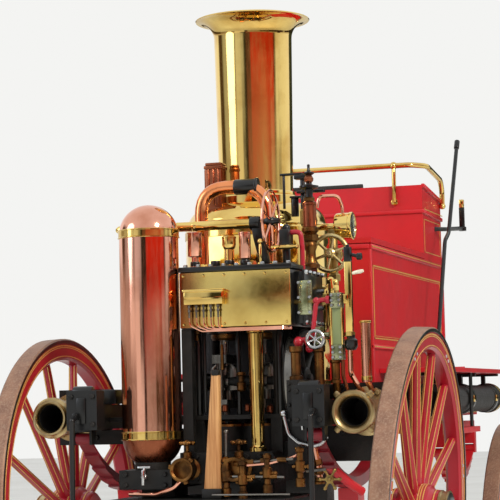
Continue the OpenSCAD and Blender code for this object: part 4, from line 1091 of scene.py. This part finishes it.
piece("cock_lever", STEEL,
      [pipe([(296, -430, 1030), (300, -430, 1012), (312, -430, 962), (345, -430, 934),
             (394, -430, 922), (424, -430, 930), (438, -430, 948)], 7, 40, 4),
       knob(296, -430, 1032, 12), knob(438, -430, 950, 9),
       bar((356, -430, 1020), (360, -430, 976), 5), knob(356, -430, 1022, 8)])
piece("lever_bracket", RED,
      [block((388, -436, 950), (422, -410, 986), 4), block((374, -428, 960), (392, -416, 974)),
       pipe([(380, -300, 930), (400, -290, 860), (470, -250, 790), (500, -200, 760)], 16, 40)])

# Suction inlets: the right one has its coupling ring with four lugs on, the left one a plain ring
ringed = [(46, 196), (49, 206), (56, 218), (62, 222), (69, 222), (72, 217), (72, 200), (68, 194),
          (66, 182), (62, 176)]
plain = [(46, 206), (48, 216), (52, 221), (58, 221), (61, 216), (61, 206), (64, 203), (71, 200),
         (71, 182), (66, 178), (62, 172)]
for side, hand, mouth in ((-1, "left", plain), (1, "right", ringed)):
    x = side * SUCTION_X
    shell = [(0, 0), (0, 20), (46, 20)] + mouth + [(62, 0)]
    body = [stood((x, SUCTION_FOOT_Y, SUCTION_Z), shell, 72, REARWARD),
            placed(drum(84, 0, 12, 2, 56), REARWARD, shift(x, SUCTION_FOOT_Y + 0.5, SUCTION_Z))]
    body += [placed(nut((0, 0, 0), (0, 0, 12), 16), shift(72, 0, 0), turn, REARWARD,
                    shift(x, -244, SUCTION_Z)) for turn in turns(6)]
    for a in (45, 135, 225, 315) if side > 0 else ():
        lug = block((62, -10, -9), (92, 10, 9), 5)
        body.append(placed(lug, by(a), REARWARD, shift(x, -430, SUCTION_Z)))
    piece("suction_inlet_%s_casting" % hand, SATIN_BRASS, body, "suction_inlet_" + hand)
    # Black iron lining and a black disc across the bore: painted shade inside the inlet's mouth
    bore_shade = placed(band(45, 46.3, 2, 176, 0.3, 64), REARWARD, shift(x, -255, SUCTION_Z))
    piece("suction_inlet_%s_shaded_bore" % hand, IRON,
          [bore_shade, placed(drum(46, 0, 2, 0.4), REARWARD, shift(x, -252, SUCTION_Z))])

# Water gauge, its pipes and the square column on the right
gauge_blocks, gauge_bolts = [], []
for z in GAUGE_ZS:
    gauge_blocks += [block((GAUGE_X - 20, -330, z - 26), (GAUGE_X + 20, -290, z + 26), 2.5),
                     block((GAUGE_X - 17, -333, z - 23), (GAUGE_X + 17, -329, z + 23), 1)]
    gauge_bolts += nuts([(GAUGE_X + off, -332, z + up) for off in (-13, 13) for up in (-17, 0, 17)],
                        (0, -9, 0), 11)
piece("water_gauge_blocks", NICKEL_BRASS, gauge_blocks, "water_gauge")
piece("water_gauge_bolts", STEEL, gauge_bolts)
piece("water_gauge_case", GREEN_CASE,
      [block((GAUGE_X - 18, -325, 1256), (GAUGE_X + 18, -308, 1386))], "water_gauge")
piece("water_gauge_edges", BRASS,
      [block((GAUGE_X + x, -328, 1258), (GAUGE_X + x + 5, -304, 1384), 1) for x in (-21, 16)])
piece("water_gauge_arms", GUNMETAL,
      [bar((BLOCK_X1, -304, 1408), (440, -304, 1408), 9),
       bar((GAUGE_X, -290, 1408), (GAUGE_X, -150, 1418), 10),
       nut((420, -304, 1408), (404, -304, 1408), 28)], "water_gauge")
drain = [(0, 1130), (19, 1130), (19, 1140), (15, 1143), (15, 1196), (19, 1200), (19, 1208),
         (0, 1208)]
piece("water_gauge_drain", BRONZE,
      [stood((446, -304, 0), drain, 32),
       pipe([(446, -304, 1134), (446, -290, 1095), (440, -262, 1060)], 13, 24)])
piece("square_column", BRASS,
      [block((489, -321, 1292), (512, -299, 1538)), block((484, -326, 1396), (500, -296, 1428)),
       nut((500, ROW_Y, 1300), (500, ROW_Y, 1284), 34)], "water_gauge")
bulb = [(0, 0), (16, 4), (22, 14), (22, 36), (14, 44), (14, 54), (0, 54)]
piece("column_head", BLACK_PAINT,
      [block((488, -324, 1538), (512, -296, 1588), 4), post(500, ROW_Y, 1586, 1596, 6),
       bar((510, ROW_Y, 1562), (532, ROW_Y, 1556), 6),
       placed(drum(12, -9, 9, 3), ALONG_X, shift(540, ROW_Y, 1554)),
       stood((504, ROW_Y, 1236), bulb, 28)])
grip = [(0, 0), (4, 0), (6, 6), (7, 30), (5, 40), (0, 42)]
piece("column_handle", dial_enamel("white_bone_handle", "#ece6d8", "#cfc5ad"),
      [stood((514, -312, 1498), grip, 20, by(80, "Y"))])
tube = [(0, 1130), (17, 1130), (17, 1335), (13, 1335), (13, 1142), (0, 1142)]
piece("open_copper_tube", COPPER,
      [stood((TUBE_X, TUBE_Y, 0), tube, 40),
       pipe([(TUBE_X, TUBE_Y, 1136), (TUBE_X, -262, 1105), (TUBE_X, -228, 1105)], 10, 20),
       pipe([(500, ROW_Y, 1240), (500, ROW_Y, 1160), (520, -262, 1105), (520, -228, 1105)], 9)],
      "copper_pipes")
piece("tube_rims", BRASS,
      [placed(band(12.5, 20, 1328, 1336, 1.5, 40), shift(TUBE_X, TUBE_Y, 0)),
       placed(band(16, 19, 1136, 1150, 1, 40), shift(TUBE_X, TUBE_Y, 0))])
piece("brass_feed_pipes", BRASS,
      [pipe([(377, -150, 1300), (377, -150, 1452), (370, -60, 1476), (361, 30, 1484)], 9),
       pipe([(412, -150, 1474), (412, -150, 1300)], 8),
       pipe([(424, -250, 1486), (428, -250, 1450), (416, -250, 1400), (420, -250, 1290)], 7, 40)])
piece("copper_feed_pipes", OLD_COPPER,
      [pipe([(398, -160, 1480), (398, -160, 1330), (380, -200, 1290)], 8, 40),
       pipe([(470, -296, 1206), (470, -296, 1150), (478, -280, 1110), (490, -262, 1080)], 7)])
thick = []
for x, y, foot in ((394, -322, 1075), (326, -372, 1143)):
    profile = [(0, foot), (23, foot), (23, foot + 12), (17, foot + 16), (17, 1234), (22, 1238),
               (22, 1256), (0, 1256)]
    thick.append(stood((x, y, 0), profile, 36))
piece("thick_bronze_pipes", BRONZE, thick)
piece("feed_tee", NICKEL_BRASS,
      [knob(394, -318, 1270, 24), post(394, -318, 1250, 1318, 12),
       bar((372, -318, 1294), (430, -318, 1294), 8), nut((394, -318, 1306), (394, -318, 1322), 34)])
tee_wheel = [placed(hoop(29, 6, 48), REARWARD, shift(390, -352, 1278)),
             bar((390, -318, 1278), (390, -356, 1278), 5)]
for degrees in (20, 80, 140):
    x, z = 28 * cos(radians(degrees)), 28 * sin(radians(degrees))
    tee_wheel.append(bar((390 - x, -352, 1278 - z), (390 + x, -352, 1278 + z), 3))
piece("feed_tee_wheel", STEEL, tee_wheel)
piece("feed_pipe_unions", BRASS,
      [nut((377, -150, 1420), (377, -150, 1442), 26), nut((412, -150, 1450), (412, -150, 1470), 24),
       nut((398, -160, 1400), (398, -160, 1420), 24), knob(398, -160, 1486, 14),
       knob(412, -150, 1480, 12)])
plate_y = -312
piece("valve_cover_plate", NICKEL_BRASS,
      [block((320, plate_y, 1364), (370, plate_y + 12, 1482), 3),
       block((332, plate_y - 5, 1376), (358, plate_y + 2, 1470), 3)])
piece("valve_cover_bolts", STEEL,
      nuts([(x, plate_y, z) for x in (326, 364) for z in (1372, 1423, 1474)], (0, -9, 0), 11))
drop_rod = [(236, -200, 1657), (306, -200, 1657), (311, -200, 1600), (311, -200, 1496),
            (312, -200, 1330)]
link = [(438, LINK_Y, 1411), (391, LINK_Y, 1411), (375, LINK_Y, 1286), (326, LINK_Y, 1274)]
red_rods = [pipe(drop_rod, 9, 18, 4), pipe(link, 8.5, 26, 5), knob(326, LINK_Y, 1272, 18),
            knob(364, LINK_Y, 1248, 14), bar((350, LINK_Y, 1280), (364, LINK_Y, 1248), 8.5),
            nut((438, LINK_Y, 1411), (424, LINK_Y, 1411), 27), knob(391, LINK_Y, 1409, 12),
            block((BLOCK_X1 - 2, -208, 1470), (320, -192, 1500))]
piece("red_link_rods", CRIMSON, red_rods, "linkage_rods")
piece("black_crank_box", BLACK_PAINT,
      [block((236, -230, 1600), (272, -170, 1668), 5), post(254, -200, BLOCK_TOP, 1604, 14),
       block((222, -226, BLOCK_TOP - 1), (286, -174, BLOCK_TOP + 12), 3),
       knob(254, -200, 1672, 15)])


# Carriage: rails, axles and springs

eased("frame_rails_and_bolster", "frame_rails", RAIL_PAINT, 2.5)
eased("rear_axle_tree", "rear_axle", RED, 3)
eased("front_axle_tree", "front_axle", RED, 3, "fore_carriage")
eased("fore_carriage_frame", "fore_carriage", RED, 3, "fore_carriage")
eased("rear_spring_leaves", "rear_springs", MAROON, 1.2)
lines, rail_bolts = [], []
for side in (-1, 1):
    for face in (side * RAIL_OUT, side * RAIL_IN):
        for z in (RAIL_BOTTOM + 12, RAIL_TOP - 12):
            lines.append(block((face - 0.7, -50, z - 1.6), (face + 0.7, 2328, z + 1.6), 0))
    rail_bolts += nuts([(side * RAIL_OUT, y, 1032) for y in (-230, -60, 640, 1180, 1720, 2150)],
                       (side * 12, 0, 0), 24)
    for z in (646, 676):
        x = side * 300
        lines.append(block((x - 150, -30.2, z - 1.6), (x + 150, -28.6, z + 1.6), 0))
for s in (-1, 1):
    lines.append(block((-140, s * 29.4 - 0.8, 640), (140, s * 29.4 + 0.8, 643), 0))
piece("frame_lining", GOLD, lines)
piece("frame_bolts", STEEL, rail_bolts)
end_bolts, end_arms = [], []
for side in (-1, 1):
    end_bolts += nuts([(side * x, -499, z) for x in (360, 438) for z in (1010, 1104)], (0, -10, 0),
                      17)
    end_arms += [placed(drum(20, -36, 36, 6, 32), ALONG_X, shift(side * 400, -478, 1120)),
                 side_block(side, 378, 436, (-232, -120), (RAIL_TOP + 2, 1128), 3),
                 side_block(side, 384, 416, (-507, -499), (1012, 1100), 4),
                 placed(drum(9, -14, 14, 2), REARWARD, shift(side * 418, -508, 1040))]
piece("rail_end_castings", BLACK_PAINT, end_arms)
piece("rail_end_bolts", IRON, end_bolts)

# Hose box with its mouldings, pilasters and lining

eased("hose_box_panels", "hose_box", RED, 2)
trim = []
for side in (-1, 1):
    for z0, z1 in ((BOX_TOP - 22, BOX_TOP - 2), (1266, 1282)):
        trim.append(side_block(side, BOX_X - 4, BOX_X + 10, (BOX_Y0, BOX_Y1), (z0, z1), 4))
    for y in (BOX_Y0 + 12, BOX_Y1 - 12):
        trim.append(side_block(side, BOX_X - 4, BOX_X + 6, (y - 12, y + 12), (1092, BOX_TOP - 22),
                               3))
    for z0, reach, fall in ((1872, 10, 8), (SEAT_TOP - 12, 12, 40)):
        strip = side_block(side, BOX_X - 4, BOX_X + reach, (SEAT_Y0, BOX_Y1), (z0, z0 + 18), 4)
        trim.append(placed(strip, sheared(2, 1, -fall / (BOX_Y1 - SEAT_Y0), SEAT_Y0)))
trim.append(block((-BOX_X - 10, SEAT_Y0 - 9, 1873), (BOX_X + 10, SEAT_Y0 + 2, 1890), 4))
trim.append(block((-BOX_X, BOX_Y0 - 7, 1092), (BOX_X, BOX_Y0 + 3, 1112), 3))
trim.append(block((-BOX_X, BOX_Y0 - 7, BOX_TOP - 22), (BOX_X, BOX_Y0 + 3, BOX_TOP - 3), 3))
piece("hose_box_mouldings", RED, trim)
eased("seat_box_panels", "seat_box", RED, 2)
eased("hose_box_lid_board", "hose_box_lid", RED, 3, "lid")
gold = []


def outline_box(side, y0, y1, z0, z1, wide):
    """Four thin gold lines on a side panel."""
    runs = (((y0, y1), (z0, z0 + wide)), ((y0, y1), (z1 - wide, z1)), ((y0, y0 + wide), (z0, z1)),
            ((y1 - wide, y1), (z0, z1)))
    return [side_block(side, BOX_X - 0.7, BOX_X + 1.42, y, z, 0) for y, z in runs]


for side in (-1, 1):
    gold += outline_box(side, 636, 1930, 1304, 1590, 5)
    gold += outline_box(side, 646, 1920, 1314, 1580, 2)
    gold += outline_box(side, 1626, 1962, 1704, 1850, 3)
    for out, y0, z0 in ((10, BOX_Y0, BOX_TOP - 14), (10, BOX_Y0, 1272), (9, SEAT_Y0, 1888)):
        gold.append(side_block(side, BOX_X + out - 0.6, BOX_X + out + 0.6, (y0 + 4, BOX_Y1 - 4),
                               (z0, z0 + 4), 0))
piece("box_lining", GOLD, gold)
lid_lines = [block((x0, y0, 1694), (x1, y1, 1695.4), 0)
             for x0, y0, x1, y1 in ((-340, 612, 340, 615), (-340, 1540, 340, 1543),
                 (-340, 612, -337, 1543), (337, 612, 340, 1543))]
piece("lid_lining", GOLD, lid_lines, body="lid")
straps = [block((x - 16, 1380, 1694), (x + 16, 1576, 1698), 1.2) for x in (-230, 230)]
straps += [screw((x, y, 1698), (x, y, 1701), 6) for x in (-230, 230) for y in (1400, 1450, 1500)]
piece("lid_hinge_straps", BRASS, straps, body="lid")

# Seat rail with its stanchions
rail_path = [(0, SEAT_RAIL_Y, SEAT_RAIL_Z), (314, SEAT_RAIL_Y, SEAT_RAIL_Z),
             (SEAT_RAIL_X, 1646, 2083), (SEAT_RAIL_X, 1940, 2050), (SEAT_RAIL_X, 1970, 2005),
             (SEAT_RAIL_X, 1970, 1935)]
rails = [pipe(rail_path, 12, 60, 4),
         placed(pipe(rail_path, 12, 60, 4), Matrix.Scale(-1, 4, (1, 0, 0)))]
for part in rails:
    bmesh.ops.recalc_face_normals(part, faces=part.faces)
for x in (-240, 240):
    rails.append(post(x, SEAT_RAIL_Y, 1924, SEAT_RAIL_Z, 9))
    rails.append(knob(x, SEAT_RAIL_Y, SEAT_RAIL_Z, 17))
    rails.append(bar((x, SEAT_RAIL_Y, 1926), (x, 1601, 1926), 15))
rails += [knob(s * SEAT_RAIL_X, 1970, 1935, 15) for s in (-1, 1)]
piece("seat_rail", BRASS, rails, "seat_handrail")
piece("lamp_bracket", BLACK_PAINT,
      [pipe([(356, 1850, 1822), (400, 1880, 1822), (440, 2090, 1840)], 10, 40),
       block((428, 2078, 1830), (452, 2092, 1936)), block((424, 2076, 1828), (456, 2104, 1848), 3)])
piece("lamp_bracket_tip", BRASS, [block((429, 2076, 1934), (451, 2094, 1972), 4)])


# Seat cushion

def evaluated(made):
    """Mesh of an object with its modifiers applied."""
    graph = bpy.context.evaluated_depsgraph_get()
    return bpy.data.meshes.new_from_object(made.evaluated_get(graph))


def swollen(made, reach):
    """Lets a stitched bag swell under its filling: the underside stays put and no point moves
    further than reach metres."""
    pressure, frames = 4.0, 20
    grid = made.modifiers.new("grid", "REMESH")
    grid.mode, grid.voxel_size = "VOXEL", 0.006
    fine = evaluated(made)
    made.modifiers.clear()
    made.data = fine
    start = [v.co.copy() for v in fine.vertices]
    low = min(p.z for p in start)
    held = made.vertex_groups.new(name="underside")
    held.add([i for i, p in enumerate(start) if p.z < low + 0.004], 1.0, "REPLACE")
    cloth = made.modifiers.new("swell", "CLOTH")
    cloth.settings.use_pressure = True
    cloth.settings.uniform_pressure_force = pressure
    cloth.settings.vertex_group_mass = "underside"
    cloth.settings.effector_weights.gravity = 0
    cloth.point_cache.frame_start, cloth.point_cache.frame_end = 1, frames
    for number in range(1, frames + 1):
        bpy.context.scene.frame_set(number)
    full = evaluated(made)
    made.modifiers.clear()
    bpy.context.scene.frame_set(1)
    for vertex, place in zip(full.vertices, start):
        move = vertex.co - place
        if move.length > reach:
            vertex.co = place + move.normalized() * reach
    made.data = full
    for polygon in full.polygons:
        polygon.use_smooth = True
    full.materials.clear()
    full.materials.append(HIDE)
    finer = made.modifiers.new("smooth", "SUBSURF")
    finer.levels = finer.render_levels = 1


bag = [block((-324, 1636, SEAT_BOARD), (324, 1976, SEAT_BOARD + 42), 14, 4)]
pad = piece("seat_cushion_bag", HIDE, bag, "seat_cushion")
swollen(pad, 0.012)
roll = pipe([(-330, 1640, SEAT_TOP + 7), (86, 1640, SEAT_TOP + 7)], 15, 0, 5)
piece("seat_back_roll", HIDE,
      [roll, block((-330, 1626, SEAT_BOARD + 50), (87, 1650, SEAT_TOP + 8), 6)], "seat_cushion")

# Footboards with their irons and the step

eased("footboard_planks", "footboards", BOARD_PAINT, 1.5)

# Suction hoses, held in their straps along their whole run

ribs = [(0, 0)]
for z in range(4, 1150, 18):
    ribs += [(HOSE_R - 1.6, z), (HOSE_R, z + 5), (HOSE_R, z + 11), (HOSE_R - 1.6, z + 16)]
ribs.append((0, ribs[-1][1] + 2))
coupling = [(40, 0), (65, 0), (65, 14), (61, 18), (61, 52), (65, 56), (65, 64), (61, 68), (58, 100),
            (40, 100)]
for side, hand in ((-1, "left"), (1, "right")):
    x = side * HOSE_X
    piece("suction_hose_%s" % hand, HOSE, [stood((x, 786, HOSE_Z), ribs, 56, ALONG_Y)],
          "suction_hoses")
    ends, rings = [], []
    for y0, flip in ((710, 1), (2020, -1)):
        end = turned([(r, flip * z) for r, z in coupling], 56, closed=True)
        ends.append(placed(end, ALONG_Y, shift(x, y0, HOSE_Z)))
        rings.append(placed(band(60.6, 66, flip * 34 - 7, flip * 34 + 7, 1, 56), ALONG_Y,
                            shift(x, y0, HOSE_Z)))
    for part in ends:
        bmesh.ops.recalc_face_normals(part, faces=part.faces)
    piece("suction_hose_couplings_%s" % hand, IRON, ends, "suction_hoses")
    piece("suction_hose_rings_%s" % hand, BRASS, rings)
    bands = [placed(band(HOSE_R - 1, HOSE_R + 3.4, -19, 19, 1.5, 64), ALONG_Y, shift(x, y, HOSE_Z))
             for y in STRAP_YS]
    piece("hose_straps_%s" % hand, HIDE, bands)
    buckles = [side_block(side, HOSE_X + 58, HOSE_X + 64, (y - 22, y + 22),
                          (HOSE_Z - 14, HOSE_Z + 14), 2) for y in STRAP_YS]
    piece("hose_buckles_%s" % hand, BRASS, buckles)

# Brake lever and the wooden post

lever = [(LEVER_X, 1350, 1250), (LEVER_X, 1443, 1373), (LEVER_X, 1626, 1751), (LEVER_X, 1715, 1792),
         (LEVER_X, 1975, 2223)]
piece("brake_lever_bar", BLACK_PAINT,
      [pipe(lever, 9, 50, 3), bar((LEVER_X, 1955, 2192), (LEVER_X, 1977, 2227), 12),
       bar((430, 1350, 1250), (468, 1350, 1250), 15),
       block((441, 1334, FOOT_Z - 1), (459, 1366, 1250))], "brake_lever")
piece("lean_post_board", ASH,
      [placed(plate([(21, 0), (80, 0), (82, 408), (57, 408)], 28), shift(0, -469, 766))],
      "wooden_post")
piece("lean_post_shoe", IRON,
      [block((16, -475, 753), (84, -433, 787), 3), block((58, -472, 1164), (83, -444, 1184), 3)],
      "wooden_post")

# Setting

bpy.ops.mesh.primitive_plane_add(size=60, location=(0, 0, 0))
floor = bpy.context.object
floor.name = "studio_floor"
material, tree = finish_material("pale_floor")
surface(tree, Base_Color=mixed(tree, blotches(tree, 900, 3), "#dededc", "#d6d6d3"), Roughness=0.7)
floor.data.materials.append(material)


def ring(tree, around, stops):
    """Colours met by bright metal along the horizon, by compass angle in degrees."""
    colours = node(tree, "ValToRGB", Fac=around)
    band_stops = colours.color_ramp.elements
    for number, (degrees, colour) in enumerate(stops):
        place = (degrees + 180) / 360
        stop = band_stops[number] if number < 2 else band_stops.new(place)
        stop.position, stop.color = place, linear(colour)
    return colours.outputs[0]


def studio_world():
    """White to the eye; bright metal sees pale sky, darker trees and a red building behind the
    viewer, as in an open yard."""
    world = bpy.data.worlds.new("yard")
    bpy.context.scene.world = world
    world.use_nodes = True
    tree = world.node_tree
    tree.nodes.clear()
    place = node(tree, "TexCoord").outputs["Generated"]
    parts = node(tree, "SeparateXYZ", Vector=place)
    turn = node(tree, "Math", {"operation": "ARCTAN2"}, in0=parts.outputs[1],
                in1=parts.outputs[0]).outputs[0]
    around = ramp(tree, turn, -pi, pi)
    over_roofs = ring(tree, around,
                      [(-180, "#4a3b2c"), (-173, "#aeb0b0"), (-137, "#c8cacc"), (-131, "#8e8f8c"),
                       (-125, "#d8dce0"), (-104, "#c6cacf"), (-99, "#3a382e"), (-83, "#35332b"),
                       (-80, "#c9341f"), (-14, "#cf3a22"), (-8, "#4a3424"), (-2, "#eef0f2"),
                       (58, "#ffffff"), (62, "#3a4030"), (101, "#33382a"), (106, "#ffffff"),
                       (161, "#ffffff"), (166, "#5a4a38"), (180, "#4a3b2c")])
    over_hedges = ring(tree, around,
                       [(-180, "#c8bcb0"), (-156, "#b8aca2"), (-152, "#f4efe8"), (-112, "#ece6de"),
                        (-108, "#3a302a"), (-96, "#382e28"), (-92, "#a86860"), (-62, "#b08478"),
                        (-40, "#c0a898"), (-26, "#a87468"), (-20, "#c8c4c0"), (2, "#c0bcb8"),
                        (5, "#382c26"), (13, "#3c302a"), (18, "#dcd4cc"), (58, "#d8d0c8"),
                        (62, "#2c2e24"), (101, "#2b2c22"), (106, "#d0c8be"), (140, "#c8bcb0")])
    at_ground = ring(tree, around,
                     [(-180, "#8d7d70"), (-130, "#a39890"), (-126, "#eceae6"), (-100, "#e8e6e2"),
                      (-95, "#352c28"), (-90, "#352c28"), (-87, "#b2aca4"), (-54, "#a29c94"),
                      (-50, "#5a5040"), (-29, "#5c5440"), (-25, "#3a3026"), (5, "#382c24"),
                      (27, "#3c201c"), (29, "#b0afac"), (33, "#b0afac"), (35, "#3a221c"),
                      (60, "#2c2a22"), (105, "#2b2c22"), (110, "#4f4129"), (174, "#57462c")])
    high = ramp(tree, parts.outputs[2], 0.08, 0.094)
    low = ramp(tree, parts.outputs[2], 0.03, 0.05)
    horizon = mixed(tree, high, mixed(tree, low, at_ground, over_hedges), over_roofs)
    height = ramp(tree, parts.outputs[2], 0.3, 0.42)
    ground = ramp(tree, parts.outputs[2], -0.12, -0.04)
    sky = mixed(tree, height, horizon, "#f4f6f8")
    yard = mixed(tree, ground, "#8b8680", sky)
    plain = node(tree, "Background", Color=linear("#f4f4f2"), Strength=1.0)
    seen = node(tree, "Background", Color=yard, Strength=1.0)
    rays = node(tree, "LightPath")
    reflected = node(tree, "MixShader", in0=rays.outputs["Is Glossy Ray"], in1=plain.outputs[0],
                     in2=seen.outputs[0])
    node(tree, "OutputWorld", Surface=reflected.outputs[0])


studio_world()


def lamp_at(name, place, size, power, colour):
    """Round lamp that looks at the engine's middle."""
    data = bpy.data.lights.new(name, "AREA")
    data.shape, data.size, data.energy, data.color = "DISK", size, power, linear(colour)[:3]
    made = bpy.data.objects.new(name, data)
    made.matrix_world = aim(place, (0, -0.6, 1.2), "-Z")
    bpy.context.scene.collection.objects.link(made)


lamp_at("key", (6.5, -5.5, 6.5), 1.6, 520, "#fff6e8")
lamp_at("fill", (-6.0, -5.0, 4.0), 4.0, 110, "#e8f0ff")

# Camera, fitted to the photograph


view = bpy.data.cameras.new("camera")
view.lens, view.sensor_width = 140.9, 36
viewer = bpy.data.objects.new("camera", view)
azimuth, pitch, roll = radians(16.972), radians(4.422), radians(-1.366)
ahead = Vector((-sin(azimuth) * cos(pitch), cos(azimuth) * cos(pitch), sin(pitch)))
right = Vector((cos(azimuth), sin(azimuth), 0))
up = right.cross(ahead)
across, over = right * cos(roll) + up * sin(roll), up * cos(roll) - right * sin(roll)
turned_to = Matrix((across, over, -ahead)).transposed().to_4x4()
viewer.matrix_world = Matrix.Translation((2.111, -7.743, 1.075)) @ turned_to
bpy.context.scene.collection.objects.link(viewer)
bpy.context.scene.camera = viewer
bpy.context.scene.view_settings.view_transform = "Standard"
